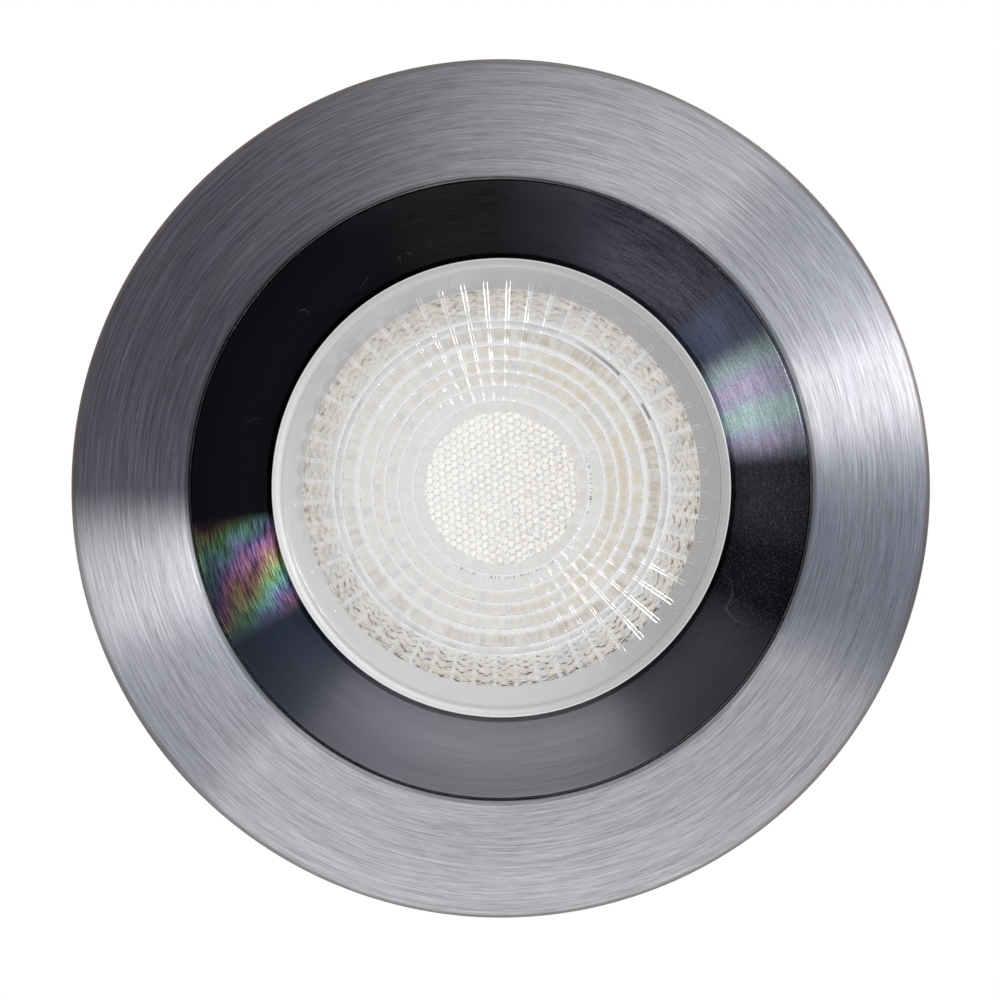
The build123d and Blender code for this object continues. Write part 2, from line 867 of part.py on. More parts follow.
def spring_gap(edges):
    """Least gap between stretches of the wire that are more than half a turn apart."""
    half_turn = math.pi * spring_coil_radius
    points = []
    travel = 0
    for edge in edges:
        steps = max(4, round(edge.length / spring_wire_radius))
        for i in range(steps):
            points.append((travel + edge.length * i / steps, edge @ (i / steps)))
        travel += edge.length
    least = travel
    for i, (travel_a, a) in enumerate(points):
        for travel_b, b in points[i + 1 :]:
            if travel_b - travel_a > half_turn:
                least = min(least, (a - b).length)
    return least - spring_wire_radius * 2


def make_clip_spring():
    edges = spring_path()
    gap = spring_gap(edges)
    print(f"spring: least gap to itself {gap:.2f} mm, limit {spring_least_gap}")
    start = edges[0] @ 0
    section = Plane(origin=start, z_dir=edges[0] % 0) * Circle(spring_wire_radius)
    return sweep(section, path=Wire(edges))


def write(name, shape):
    """Save one named piece, or a group of separate solids, as a STEP file."""
    if isinstance(shape, list):
        shape = Compound(children=[solid for piece in shape for solid in piece.solids()])
    export_step(shape, f"parts/{name}.step")


def write_pair(name, right):
    """Save a clip piece for the right side, and turned half way round for the left."""
    write(f"{name}_right", right)
    write(f"{name}_left", Rot(0, 0, 180) * right)


os.makedirs("parts", exist_ok=True)
write("fascia_ring", make_fascia_ring())
write("ceiling_gasket", make_ceiling_gasket())
write("fascia_screws", make_fascia_screws())
write("front_bezel", make_front_bezel())
write("lens", make_lens())
write("lens_gasket", make_lens_gasket())
write("housing", make_housing())
write("reflector_cup", make_reflector_cup())
write("cob_holder", make_cob_holder())
write("holder_screws", make_holder_screws())
write("cob_substrate", make_cob_substrate())
write("cob_dam", make_cob_dam())
write("cob_phosphor", make_cob_phosphor())
write("thermal_pad", make_thermal_pad())
write("heat_sink", make_heat_sink())
write("body_screws", make_body_screws())
write("terminal_block", make_terminal_block())
write("block_screw", make_block_screw())
write("terminal_screws", make_terminal_screws())
write("lead_live", make_lead(1))
write("lead_neutral", make_lead(-1))
write("rear_cover", make_rear_cover())
write("cover_seal", make_cover_seal())
write("cover_screws", make_cover_screws())
write("gland_body", make_gland_body())
write("gland_locknut", make_gland_locknut())
write("gland_seal", make_gland_seal())
write("gland_cap", make_gland_cap())
write("bracket_screws", make_bracket_screws())
write_pair("clip_bracket", make_clip_bracket())
write_pair("clip_pin", make_clip_pin())
write_pair("clip_arm", make_clip_arm())
write_pair("clip_spring", make_clip_spring())
print(f"clip: rest angle {arm_angle:.2f} degrees, hinge at x {pivot_x:.2f}, z {pivot_z:.2f}")
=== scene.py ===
"""Looks of a recessed downlight: brushed trim, dark bezel, fluted lens, cast body, spring clips."""

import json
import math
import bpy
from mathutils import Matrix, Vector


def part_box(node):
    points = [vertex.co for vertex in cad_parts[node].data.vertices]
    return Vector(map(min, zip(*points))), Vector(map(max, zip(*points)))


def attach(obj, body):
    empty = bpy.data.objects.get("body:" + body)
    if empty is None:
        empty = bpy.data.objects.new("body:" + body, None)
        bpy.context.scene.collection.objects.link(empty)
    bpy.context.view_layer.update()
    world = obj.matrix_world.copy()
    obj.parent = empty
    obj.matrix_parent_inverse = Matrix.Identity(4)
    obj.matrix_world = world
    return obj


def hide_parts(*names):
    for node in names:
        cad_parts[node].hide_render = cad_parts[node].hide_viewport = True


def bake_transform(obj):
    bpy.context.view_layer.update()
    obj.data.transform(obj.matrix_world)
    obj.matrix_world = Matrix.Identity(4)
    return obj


bl_info = {
    "name": "Recessed downlight",
    "version": (1, 0, 0),
    "blender": (4, 5, 0),
    "location": "View3D > Sidebar > Downlight",
    "description": "Makes the trim, bezel, lens, cast body, fixings and spring clips of a downlight",
    "category": "Object",
}

import bmesh
import bpy
from mathutils import Matrix, Vector

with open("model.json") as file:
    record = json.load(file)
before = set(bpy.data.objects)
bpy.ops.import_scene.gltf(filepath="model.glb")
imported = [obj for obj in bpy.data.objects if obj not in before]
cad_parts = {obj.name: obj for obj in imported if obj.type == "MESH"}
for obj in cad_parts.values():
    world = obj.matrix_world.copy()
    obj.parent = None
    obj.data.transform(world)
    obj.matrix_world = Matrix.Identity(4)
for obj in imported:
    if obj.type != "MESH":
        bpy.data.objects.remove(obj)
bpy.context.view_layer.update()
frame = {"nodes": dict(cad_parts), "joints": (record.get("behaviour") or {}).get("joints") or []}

MM = 0.001
FULL_TURN = 2 * math.pi
HEXAGON = math.pi / 3  # angle between two corners of a hexagon
QUARTER_TURN = 0.25  # as the shader counts turns
FIXED = "fitting"
LENS_SEAT = 5.6 * MM  # level where the bezel clamps the lens flange
LENS_STEPS = (0.728, 0.695, 0.630, 0.559, 0.504, 0.447, 0.380, 0.337)  # ring steps, in lens radii
HUB_SHARE = 0.22  # width of a flute at the centre disc, in widths at its outer end
ACRYLIC_IOR = 1.49


def low(node):
    """Lowest corner of a packed node, in metres."""
    return Vector(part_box(node)[0])


def high(node):
    """Highest corner of a packed node, in metres."""
    return Vector(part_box(node)[1])


def length_setting(name, description, default):
    """A size that a user can change, in metres."""
    return bpy.props.FloatProperty(
        name=name, description=description, default=default, unit="LENGTH", precision=5
    )


def angle_setting(name, description, degrees):
    """An angle that a user can change."""
    return bpy.props.FloatProperty(
        name=name, description=description, default=math.radians(degrees), unit="ROTATION"
    )


def count_setting(name, description, default, least=1):
    """A count that a user can change."""
    return bpy.props.IntProperty(name=name, description=description, default=default, min=least)


def colour_setting(name, description, default):
    """A colour that a user can change."""
    return bpy.props.FloatVectorProperty(
        name=name, description=description, default=default, subtype="COLOR", size=3, min=0, max=1
    )


def group_setting(kind, name):
    """A group of settings."""
    return bpy.props.PointerProperty(type=kind, name=name, description=kind.__doc__)


class DownlightTrimSettings(bpy.types.PropertyGroup):
    """Sizes and colours of the brushed trim and the soft ring behind it."""

    radius: length_setting("Radius", "Outer radius of the trim", high("fascia_ring").x)
    front: length_setting("Front", "Level of the front face", low("fascia_ring").z)
    opening: length_setting("Opening", "Radius of the hole for the bezel", 33.45 * MM)
    chamfer: length_setting("Chamfer", "Bevel round the opening", 0.45 * MM)
    rounding: length_setting("Rounding", "Rounding of the outer edge", 0.7 * MM)
    gasket_outer: length_setting("Seal groove, outer", "Outer radius of the seal groove", 44.7 * MM)
    gasket_inner: length_setting("Seal groove, inner", "Inner radius of the seal groove", 38.3 * MM)
    steel: colour_setting("Steel", "Mean colour of the brushed steel", (0.43, 0.43, 0.46))


class DownlightBezelSettings(bpy.types.PropertyGroup):
    """Sizes and colours of the dark cone round the lens."""

    radius: length_setting("Radius", "Outer radius of the cone", high("front_bezel").x)
    front: length_setting("Front", "Level of the outer edge", low("front_bezel").z)
    throat_radius: length_setting("Throat radius", "Radius where the cone meets the lens", 24.85 * MM)
    throat: length_setting("Throat", "Level where the cone meets the lens", 4.4 * MM)
    wall: length_setting("Wall", "Thickness of the cone", 1.2 * MM)
    chrome: colour_setting("Chrome", "Colour of the dark chrome", (0.0058, 0.0062, 0.0080))


class DownlightLensSettings(bpy.types.PropertyGroup):
    """Sizes and colours of the fluted lens."""

    radius: length_setting("Radius", "Radius of the visible face", 24.82 * MM)
    flange_radius: length_setting("Flange radius", "Radius of the clamped flange", high("lens").x)
    rim_front: length_setting("Rim", "Level of the raised rim", low("lens").z)
    rear: length_setting("Rear", "Level of the tallest tooth", high("lens").z)
    rim_width: length_setting("Rim width", "Width of the raised rim", 1.0 * MM)
    rim_height: length_setting("Rim height", "Height of the rim above the face", 0.4 * MM)
    ridge: length_setting("Ridge", "Height of the low ridges at the ring steps", 0.0035 * MM)
    flute_width: length_setting("Flute width", "Width of a flute at its outer end", 0.44 * MM)
    flute_count: count_setting("Flutes", "Number of radial flutes", 56, 3)
    flute_turn: angle_setting("First flute", "Angle of the first flute from the clips' line", 1.9)
    flute_start: length_setting("Flute start", "Radius of the centre disc", 8.29 * MM)
    flute_end: length_setting("Flute end", "Radius of the flutes' outer ends", 22.4 * MM)
    cell_pitch: length_setting("Cell pitch", "Spacing of the small centre lenses", 0.81 * MM)
    cell_turn: angle_setting("Cell turn", "Turn of the honeycomb about the axis", 26.4)
    body: colour_setting("Acrylic", "Colour of the clear moulding", (0.82, 0.82, 0.815))
    cream: colour_setting("Cream", "Warm tint that the lamp gives the cells", (0.71, 0.645, 0.52))


class DownlightSpringSettings(bpy.types.PropertyGroup):
    """Sizes of the torsion springs of the clips."""

    wire_radius: length_setting("Wire radius", "Half the thickness of the wire", 0.35 * MM)
    coil_radius: length_setting("Coil radius", "From the hinge to the middle of the wire", 1.70 * MM)
    pitch: length_setting("Pitch", "Step of the coil in one turn", 1.35 * MM)
    fixed_leg: length_setting("Fixed leg", "Straight end that stands on the bracket", 4.6 * MM)
    arm_leg: length_setting("Arm leg", "Straight end that lies on the arm", 9.0 * MM)
    whole_turns: count_setting("Turns", "Whole turns of the coil", 3)
    arm_angle: angle_setting("Arm angle", "Slope of the arm at rest", -44.13)


class DownlightStageSettings(bpy.types.PropertyGroup):
    """Camera distance, framing and floor."""

    distance: length_setting("Camera distance", "From the trim's face to the camera", 0.7)
    view_width: length_setting("View width", "Width of the picture at the trim's face", 107.02 * MM)
    drop: length_setting("Drop", "How far the trim's centre lies above the picture's", 1.152 * MM)
    shift_x: length_setting("Step aside", "How far the camera stands off the axis", 14.0 * MM)
    shift_y: length_setting("Step up", "How far the camera stands off the axis", -17.0 * MM)
    floor: length_setting("Floor", "Level of the floor below the fitting", -1.3)


class DownlightSettings(bpy.types.PropertyGroup):
    """All sizes and colours of the downlight."""

    trim: group_setting(DownlightTrimSettings, "Trim")
    bezel: group_setting(DownlightBezelSettings, "Bezel")
    lens: group_setting(DownlightLensSettings, "Lens")
    spring: group_setting(DownlightSpringSettings, "Springs")
    stage: group_setting(DownlightStageSettings, "Stage")


class Value:
    """A node's output that arithmetic can be written with: each step adds a Math node."""

    def __init__(self, tree, socket):
        self.tree = tree
        self.socket = socket

    def __add__(self, other):
        return self.tree.math("ADD", self, other)

    def __sub__(self, other):
        return self.tree.math("SUBTRACT", self, other)

    def __rsub__(self, other):
        return self.tree.math("SUBTRACT", other, self)

    def __mul__(self, other):
        return self.tree.math("MULTIPLY", self, other)

    def __truediv__(self, other):
        return self.tree.math("DIVIDE", self, other)

    def __pow__(self, other):
        return self.tree.math("POWER", self, other)

    def __abs__(self):
        return self.tree.math("ABSOLUTE", self)

    def floor(self):
        return self.tree.math("FLOOR", self)

    def fract(self):
        return self.tree.math("FRACT", self)

    def root(self):
        return self.tree.math("SQRT", self)


class Tree:
    """Short way to place and join the nodes of one node tree."""

    def __init__(self, tree):
        self.tree = tree

    def feed(self, socket, value):
        """Joins an output to an input, or sets the input to a plain value."""
        if isinstance(value, Value):
            self.tree.links.new(value.socket, socket)
        else:
            socket.default_value = value

    def node(self, kind, inputs=None, **settings):
        """Adds a node with its settings and its inputs, by name or number."""
        made = self.tree.nodes.new(kind)
        for key, value in settings.items():
            setattr(made, key, value)
        for key, value in (inputs or {}).items():
            self.feed(made.inputs[key], value)
        return made

    def value(self, kind, inputs=None, output=0, **settings):
        """Adds a node and gives one of its outputs."""
        return Value(self, self.node(kind, inputs, **settings).outputs[output])

    def math(self, operation, *values):
        return self.value("ShaderNodeMath", dict(enumerate(values)), operation=operation)

    def vector(self, *parts):
        return self.value("ShaderNodeCombineXYZ", dict(enumerate(parts)))


def rgba(colour):
    """A plain colour with its fourth value, or a node's colour as it is."""
    return colour if isinstance(colour, Value) else (*colour[:3], 1.0)


def scaled(colour, factor):
    """A colour made darker or lighter, at most white."""
    return [min(1.0, channel * factor) for channel in colour]


class Paint(Tree):
    """A material's node tree with its shader and the colour laid down so far."""

    def __init__(self, name):
        self.material = bpy.data.materials.new(name)
        self.material.use_nodes = True
        super().__init__(self.material.node_tree)
        self.tree.nodes.clear()
        self.shader = self.node("ShaderNodeBsdfPrincipled")
        self.node("ShaderNodeOutputMaterial", {"Surface": Value(self, self.shader.outputs[0])})
        self.place = self.value("ShaderNodeTexCoord", output="Object")

    def polar(self):
        """Finds the distance from the light's axis, the direction away from it, and the level."""
        parts = self.node("ShaderNodeSeparateXYZ", {0: self.place}).outputs
        x, y, self.level = (Value(self, part) for part in parts)
        least = 1e-6  # keeps the divisions below finite on the axis
        self.radius = self.math("MAXIMUM", (x * x + y * y).root(), least)
        self.ux = x / self.radius
        self.uy = y / self.radius
        return self

    def mix(self, share, first, second, blend="MIX"):
        """Mixes two colours by a share from 0 to 1."""
        inputs = {0: share, 6: rgba(first), 7: rgba(second)}
        return self.value(
            "ShaderNodeMix", inputs, 2, data_type="RGBA", blend_type=blend, clamp_factor=True
        )

    def start(self, share, first, second):
        """Starts the colour as a mix of two."""
        self.colour = self.mix(share, first, second)

    def lay(self, share, colour, blend="MIX"):
        """Lays a colour over what is there."""
        self.colour = self.mix(share, self.colour, colour, blend)

    def hsv(self, hue, saturation, brightness):
        parts = {0: hue, 1: saturation, 2: brightness}
        return self.value("ShaderNodeCombineColor", parts, mode="HSV")

    def noise(self, scale, detail=2.0, roughness=0.5, seed=0.0, vector=None):
        """Noise from 0 to 1; the seed moves it along its fourth axis."""
        inputs = {"Vector": vector or self.place, "W": seed, "Scale": scale}
        inputs.update({"Detail": detail, "Roughness": roughness})
        return self.value("ShaderNodeTexNoise", inputs, "Fac", noise_dimensions="4D")

    def streaks(self, turn_scale, radius_scale, detail=1.0, roughness=0.5, seed=0.0):
        """Noise that runs along circles: streaks get longer as turn_scale falls."""
        place = self.vector(self.ux * turn_scale, self.uy * turn_scale, self.radius * radius_scale)
        return self.noise(1.0, detail, roughness, seed, place)

    def remap(self, value, low_in, high_in, low_out=0.0, high_out=1.0, smooth=False):
        """Maps one range onto another and clamps it."""
        inputs = {0: value, 1: low_in, 2: high_in, 3: low_out, 4: high_out}
        kind = "SMOOTHSTEP" if smooth else "LINEAR"
        return self.value("ShaderNodeMapRange", inputs, interpolation_type=kind)

    def bump(self, height, distance, strength):
        """Normal bent by a height from 0 to 1."""
        inputs = {"Height": height, "Distance": distance, "Strength": strength}
        return self.value("ShaderNodeBump", inputs)

    def azimuth(self):
        """Angle in the picture, from the right, in radians."""
        return self.math("ARCTAN2", self.uy * -1.0, self.ux)

    def fan(self, angle, half_width, sharpness=1.0, full=0.0):
        """Share that is 1 up to full degrees from an angle in the picture, and 0 past half_width."""
        facing = math.radians(angle)
        along = self.ux * math.cos(facing) + self.uy * -math.sin(facing)
        edge, top = (math.cos(math.radians(reach)) for reach in (half_width, full))
        return self.remap(along, edge, top, smooth=True) ** sharpness

    def band(self, inner, outer, soft=0.05 * MM):
        """Share that is 1 between two radii."""
        rise = self.remap(self.radius, inner - soft, inner + soft)
        return rise - self.remap(self.radius, outer - soft, outer + soft)

    def finish(self, **values):
        """Sets or joins the shader's inputs; underscores in a name stand for spaces."""
        for name, value in {"Base_Color": self.colour, **values}.items():
            self.feed(self.shader.inputs[name.replace("_", " ")], value)
        return self.material

    def finish_turned(self, stretch, **values):
        """Finish of metal turned in circles, with its gloss stretched across them."""
        values["Tangent"] = self.value("ShaderNodeTangent", direction_type="RADIAL", axis="Z")
        values["Anisotropic_Rotation"] = QUARTER_TURN
        return self.finish(Metallic=1.0, Anisotropic=stretch, **values)


def brushed_steel(settings):
    """Steel brushed in circles: fine lines of many lengths, a few scratches, darker at its edges, and
    painted shade in fans round the axis.
    """
    paint = Paint("trim_brushed_steel").polar()
    fine = paint.streaks(11.0, 14000, 3.0, 0.8)
    long = paint.streaks(3.4, 5600, 4.0, 0.75, 3.0)
    marks = paint.remap(paint.streaks(11.0, 17000, 1.0, 0.5, 9.0), 0.68, 0.74)
    cool = paint.remap(paint.streaks(2.1, 240, 2.0, 0.5, 5.0), 0.4, 0.7, 0.0, 0.2)
    lines = fine * 0.55 + long * 0.45
    paint.start(
        paint.remap(lines, 0.37, 0.63), scaled(settings.steel, 0.54), scaled(settings.steel, 1.46)
    )
    paint.lay(cool, (0.34, 0.36, 0.43))
    paint.lay(marks * 0.30, (0.80, 0.80, 0.83))
    # Painted shade: fans round the axis darken the steel, most of all at the upper left; this mask
    # keeps it off the lit fan at the lower left.
    painted_light_mask = 1.0 - paint.fan(241.5, 62, 0.9, full=50)
    painted_shade_upper_left = paint.fan(160, 104) * painted_light_mask * paint.remap(long, 0.38, 0.62, 0.985, 0.92)
    painted_shade_beside_streaks = paint.fan(214, 15, 0.8) + paint.fan(36, 17, 0.8)
    # Painted shade, fan by fan: upper left, bottom, just below the right, and beside both lamps'
    # streaks.
    painted_shades = (
        (painted_shade_upper_left, (0.17, 0.172, 0.20)),
        (paint.fan(287, 48) * 0.15, (0.2, 0.2, 0.2)),
        (paint.fan(349.5, 22, 0.8) * 0.82, (0.33, 0.36, 0.44)),
        (painted_shade_beside_streaks * 0.56, (0.36, 0.38, 0.43)),
    )
    for share, tone in painted_shades:
        paint.lay(share, tone, "MULTIPLY")
    edge = paint.remap(paint.radius, settings.radius - 0.75 * MM, settings.radius, smooth=True)
    paint.lay(edge * 0.75, (0.16, 0.125, 0.10))
    return paint.finish_turned(
        0.94,
        Roughness=paint.remap(lines, 0.3, 0.7, 0.40, 0.30),
        Normal=paint.bump(lines, 0.03 * MM, 0.3),
    )


def rainbow_hue(paint, streak):
    """Hue of the painted rainbow highlight, which stands for light that fine turning marks split: it
    runs on with the angle and with the radius.
    """
    start, turn_rate = 186.5, 0.058
    middle, radius_rate = 27.8 * MM, 82.0
    degrees = paint.azimuth() * (180 / math.pi)
    degrees = degrees + paint.math("LESS_THAN", degrees, 0.0) * 360.0
    turn = (degrees - start) * turn_rate
    inward = (middle - paint.radius) * radius_rate
    drift = (streak - 0.5) * 0.7
    return (turn + inward + (drift + 1.33)).fract()


def bluish_hue(paint, drift):
    """Hue of the painted highlight on the right, which swings between teal and purple with the angle
    round the axis.
    """
    start, period = 22.5, 13
    middle, swing = 0.605, 0.115
    turn = (paint.azimuth() - math.radians(start)) * (360 / period)
    return paint.math("COSINE", turn + (drift - 0.5) * 2.2) * swing + middle


def dark_chrome(settings):
    """Near-black chrome with fine turning marks that split the light in two fans, shown as painted
    rainbow highlights, and painted reflections round its sides.
    """
    paint = Paint("bezel_black_chrome").polar()
    fine = paint.streaks(2.2, 13000, 3.0, 0.75)
    cloud = paint.streaks(2.5, 160, 2.0, 0.5, 7.0)
    strokes = paint.streaks(9.0, 4200, 3.0, 0.7, 13.0)
    patch = paint.streaks(7.0, 520, 1.0, 0.5, 2.0)
    streak = paint.streaks(16.0, 9000, 3.0, 0.7, 6.0)
    grain = paint.noise(5200, 2.0, 0.6, 4.0)
    turning = paint.remap(fine, 0.35, 0.65, 0.68, 1.0)
    inward = paint.remap(paint.radius, 25 * MM, 33 * MM, 1.0, 0.6)
    speckle = paint.remap(grain, 0.35, 0.65, 0.62, 1.22)
    worked = paint.remap(strokes, 0.36, 0.64, 0.45, 1.28) * speckle * inward
    paint.start(1.0, settings.chrome, settings.chrome)
    # Painted reflections: lighter grey at the bottom, dark navy and near-black tints round the other
    # sides.
    for angle, width, sharpness, share, tone in (
        (266, 58, 1.6, turning * 0.80, (0.34, 0.325, 0.36)),
        (238, 24, 0.8, turning * 0.2, (0.13, 0.16, 0.25)),
        (316, 20, 0.7, turning * 0.9, (0.058, 0.052, 0.064)),
        (217, 16, 0.7, turning * 0.8, (0.034, 0.044, 0.068)),
        (53, 38, 0.6, worked, (0.092, 0.086, 0.118)),
        (90, 28, 0.8, worked, (0.017, 0.015, 0.017)),
        (36, 7.5, 0.8, worked, (0.080, 0.100, 0.16)),
        (2, 16, 0.8, worked, (0.034, 0.031, 0.042)),
    ):
        paint.lay(paint.fan(angle, width, sharpness) * share, tone)
    # Painted reflection: pale specks towards the right.
    paint.lay(paint.fan(5, 62, 0.7) * paint.remap(grain, 0.52, 0.76) * 0.6, (0.10, 0.10, 0.125))
    # Painted rainbow highlight in the fan on the left.
    cut = paint.remap(streak, 0.36, 0.64) * paint.remap(patch, 0.30, 0.52, 0.3, 1.0)
    left = paint.fan(198.5, 13, 0.8) * cut * paint.remap(paint.radius, 26.2 * MM, 31.5 * MM, 1.0, 0.3)
    paint.lay(left, paint.hsv(rainbow_hue(paint, patch), 0.52, 0.66))
    # Painted pastel highlight in the fan on the right.
    right = paint.fan(18.8, 14.2, 1.1) * paint.remap(grain, 0.35, 0.65, 0.6, 1.0)
    right = right * paint.remap(strokes, 0.36, 0.64, 0.72, 1.2) * inward
    paint.lay(right, paint.hsv(bluish_hue(paint, cloud), 0.26, 0.84))
    scratch = abs(paint.noise(130, 1.0, 0.4, 12.0) - 0.5)
    gap = paint.remap(paint.noise(300, 2.0, 0.5, 15.0), 0.58, 0.64)
    paint.lay(paint.remap(scratch, 0.0, 0.0016, 0.22, 0.0) * gap, (0.30, 0.31, 0.33))
    return paint.finish_turned(
        0.6,
        Roughness=paint.remap(grain, 0.3, 0.7, 0.13, 0.24),
        Normal=paint.bump(fine, 0.02 * MM, 0.2),
    )


class LensPaint(Paint):
    """Tints of the fluted lens, laid out in rings and in the cells between two flutes."""

    def __init__(self, name, settings):
        super().__init__(name)
        self.polar()
        self.pitch = FULL_TURN / settings.flute_count
        first = settings.flute_turn - FULL_TURN
        self.turn = (self.math("ARCTAN2", self.uy, self.ux) - first) / self.pitch
        self.right_side = self.fan(10, 150) * 0.74 + 0.26
        self.start(1.0, settings.body, settings.body)

    def along(self, turn_scale, radius_scale, seed, detail=1.0):
        """Noise in cells that run along the rings."""
        return self.streaks(turn_scale, radius_scale, detail, 0.5, seed)

    def chance(self, *parts):
        """Random value from 0 to 1 for each set of whole numbers."""
        key = self.vector(*parts)
        return self.value("ShaderNodeTexWhiteNoise", {"Vector": key}, "Value", noise_dimensions="3D")

    def from_middle(self, turn):
        """Distance from the middle of each whole step of a turn."""
        return turn.fract() - 0.5

    def bricks(self, count, seed, wander=0.35):
        """Chance value of each of so many bricks per flute, and how near a brick's side is."""
        place = self.turn * count + self.along(9.0, 60.0, seed) * wander
        index = place.floor()
        side = abs(place - index - 0.5)
        return self.chance(index, seed), self.remap(side, 0.36, 0.5, smooth=True)

    def brick_ring(self, inner, outer, count, warm_tint, grey, contrast, seed):
        """Ring of soft bricks: pale, cream and grey ones by chance, mottled, with darker joints."""
        band = self.band(inner, outer, 0.10 * MM)
        chance, side = self.bricks(count, seed)
        depth = self.remap(self.radius, inner, outer)
        heart = (depth * (1.0 - depth) * 2.4 + 0.6) * (1.0 - side)
        mottle = self.remap(self.along(42.0, 2600.0, seed + 0.7, 2.0), 0.36, 0.60, 0.72, 1.08)
        haze = self.remap(self.along(16.0, 900.0, seed + 0.9, 2.0), 0.50, 0.66, 0.0, 0.4)
        warm = self.remap(chance, 0.1, 0.7, 0.35, 1.3) * mottle * heart * contrast
        cool = self.remap(chance, 0.22, 0.12, 0.0, 0.45 * contrast) * mottle
        joint = self.remap(side, 0.45, 0.9) * self.remap(mottle, 0.5, 1.1, 0.0, 0.5)
        self.lay(band * (warm * self.right_side), warm_tint)
        self.lay(band * cool, grey)
        self.lay(band * haze, (0.90, 0.90, 0.89))
        self.lay(band * (joint * (self.right_side * contrast)), (0.36, 0.31, 0.26))

    def ring_line(self, place, seed, dark):
        """Painted highlight of a ring step, a bright line, with a thin grey line of painted shade
        inside it that darkens here and there.
        """
        wobble = self.along(13.0, 200.0, seed)
        broken = self.along(48.0, 200.0, seed + 0.4)
        lines = (
            (-0.05, 0.35, 0.12, self.remap(wobble, 0.35, 0.6, 0.25, 0.8), (0.87, 0.87, 0.885)),
            (-0.02, 0.10, 0.03, self.remap(wobble, 0.35, 0.55, 0.3, 0.95), (0.95, 0.95, 0.96)),
            (-0.12, -0.05, 0.03, self.remap(broken, 0.50, 0.60, 0.16, dark), (0.27, 0.26, 0.30)),
        )
        for start, end, soft, share, tone in lines:
            self.lay(self.band(place + start * MM, place + end * MM, soft * MM) * share, tone)


def outer_rows(paint, inner, outer):
    """Rows that arch between the flutes: cream and grey halves, brown dashes along their edges."""
    band = paint.band(inner, outer, 0.06 * MM)
    off = paint.from_middle(paint.turn)
    column = (paint.turn * 2.0).floor()
    shift = paint.value("ShaderNodeTexWhiteNoise", {"W": column}, "Value", noise_dimensions="1D")
    jitter = paint.along(45.0, 500.0, 1.0) * (0.30 * MM) + shift * (0.42 * MM)
    reach = paint.radius + (off * off * (2.0 * MM) + jitter)
    depth = paint.remap(reach, outer + 0.1 * MM, inner)
    rows = depth**1.25 * 5.0
    row = rows.floor()
    edge = abs(rows - row - 0.5)
    chance = paint.chance(column, row, 5.0)
    fade = paint.remap(depth, 0.30, 1.0, 1.0, 0.12)
    blot = paint.along(30.0, 7600.0, 3.0, 3.0)
    fine = paint.along(24.0, 10500.0, 7.0, 2.0)
    clump = paint.remap(paint.along(30.0, 700.0, 4.0), 0.42, 0.62, 0.15, 1.0)
    brown = paint.remap(edge, 0.12, 0.42, smooth=True) * (paint.remap(blot, 0.42, 0.60) * clump)
    low_side = paint.fan(285, 98, 0.8) * 0.92 + 0.06
    seam = paint.remap(abs(paint.from_middle(paint.turn + 0.5)), 0.04, 0.13, 0.9, 0.0)
    step = paint.remap(abs(paint.from_middle(paint.turn * 2.0)), 0.42, 0.5, 0.0, 0.5)
    dash = paint.remap(edge, 0.33, 0.44) * paint.remap(blot, 0.50, 0.58) * low_side
    layers = (
        (paint.remap(chance, 0.3, 0.7, 0.2, 0.7) * fade, (0.74, 0.69, 0.59)),
        (paint.remap(chance, 0.45, 0.2, 0.0, 0.6), (0.61, 0.61, 0.635)),
        (paint.remap(fine, 0.45, 0.62, 0.0, 0.5) * fade, (0.42, 0.37, 0.30)),
        (brown * fade, (0.30, 0.235, 0.16)),
        (dash, (0.045, 0.038, 0.042)),
        (paint.remap(fine, 0.40, 0.30) * paint.remap(depth, 0.45, 0.8, 0.2, 0.8), (0.86, 0.86, 0.89)),
        (seam * paint.remap(fine, 0.35, 0.6, 1.0, 0.5), (0.85, 0.85, 0.87)),
        (step * shift, (0.45, 0.41, 0.36)),
    )
    for share, tone in layers:
        paint.lay(band * share, tone)


def frosted_border(paint, settings, inner):
    """Frosted flat between the rows and the rim, with faint swirls and grey arches by the flutes;
    painted light darkens it on the right and lightens it and the rim on the left, and painted
    highlights run along the rim.
    """
    swirl = paint.remap(paint.along(7.0, 420.0, 21.0, 3.0), 0.35, 0.65)
    hair = abs(paint.noise(420, 1.5, 0.5, 2.0) - 0.5)
    off = paint.from_middle(paint.turn)
    arch = paint.radius + off * off * (2.4 * MM)
    patch = paint.remap(arch, inner + 0.75 * MM, inner + 0.6 * MM)
    border = paint.band(inner, settings.radius + MM)
    paint.lay(border, paint.mix(swirl, (0.505, 0.505, 0.515), (0.57, 0.565, 0.575)))
    # The first two layers are painted light: darker on the right, lighter at the lower left.
    layers = (
        (paint.fan(2, 126) * 0.80, (0.365, 0.35, 0.35)),
        (paint.fan(232, 92, 0.8) * 0.95, (0.70, 0.69, 0.695)),
        (paint.remap(hair, 0.0, 0.008, 0.30, 0.0), (0.70, 0.70, 0.71)),
        (patch * (paint.fan(140, 75) * 0.5), (0.40, 0.41, 0.45)),
    )
    for share, tone in layers:
        paint.lay(border * share, tone)
    bead = settings.radius - settings.rim_width
    rim = paint.band(bead, settings.radius + MM, 0.04 * MM)
    paint.lay(rim * 0.3, (0.66, 0.66, 0.665))
    # Painted light: the rim is lighter on the left.
    paint.lay(rim * paint.fan(210, 85), (0.90, 0.90, 0.90))
    # The bright lines are painted highlights along the rim bead; the grey ones are plain darker
    # lines.
    lines = ((0.0, 0.86, 0.7), (-0.3, 0.45, 0.3), (0.62, 0.45, 0.3), (0.86, 0.95, 0.9))
    for place, level, share in lines:
        start = bead + place * MM
        line = paint.band(start, start + 0.12 * MM, 0.04 * MM)
        paint.lay(line * share, (level, level, level))


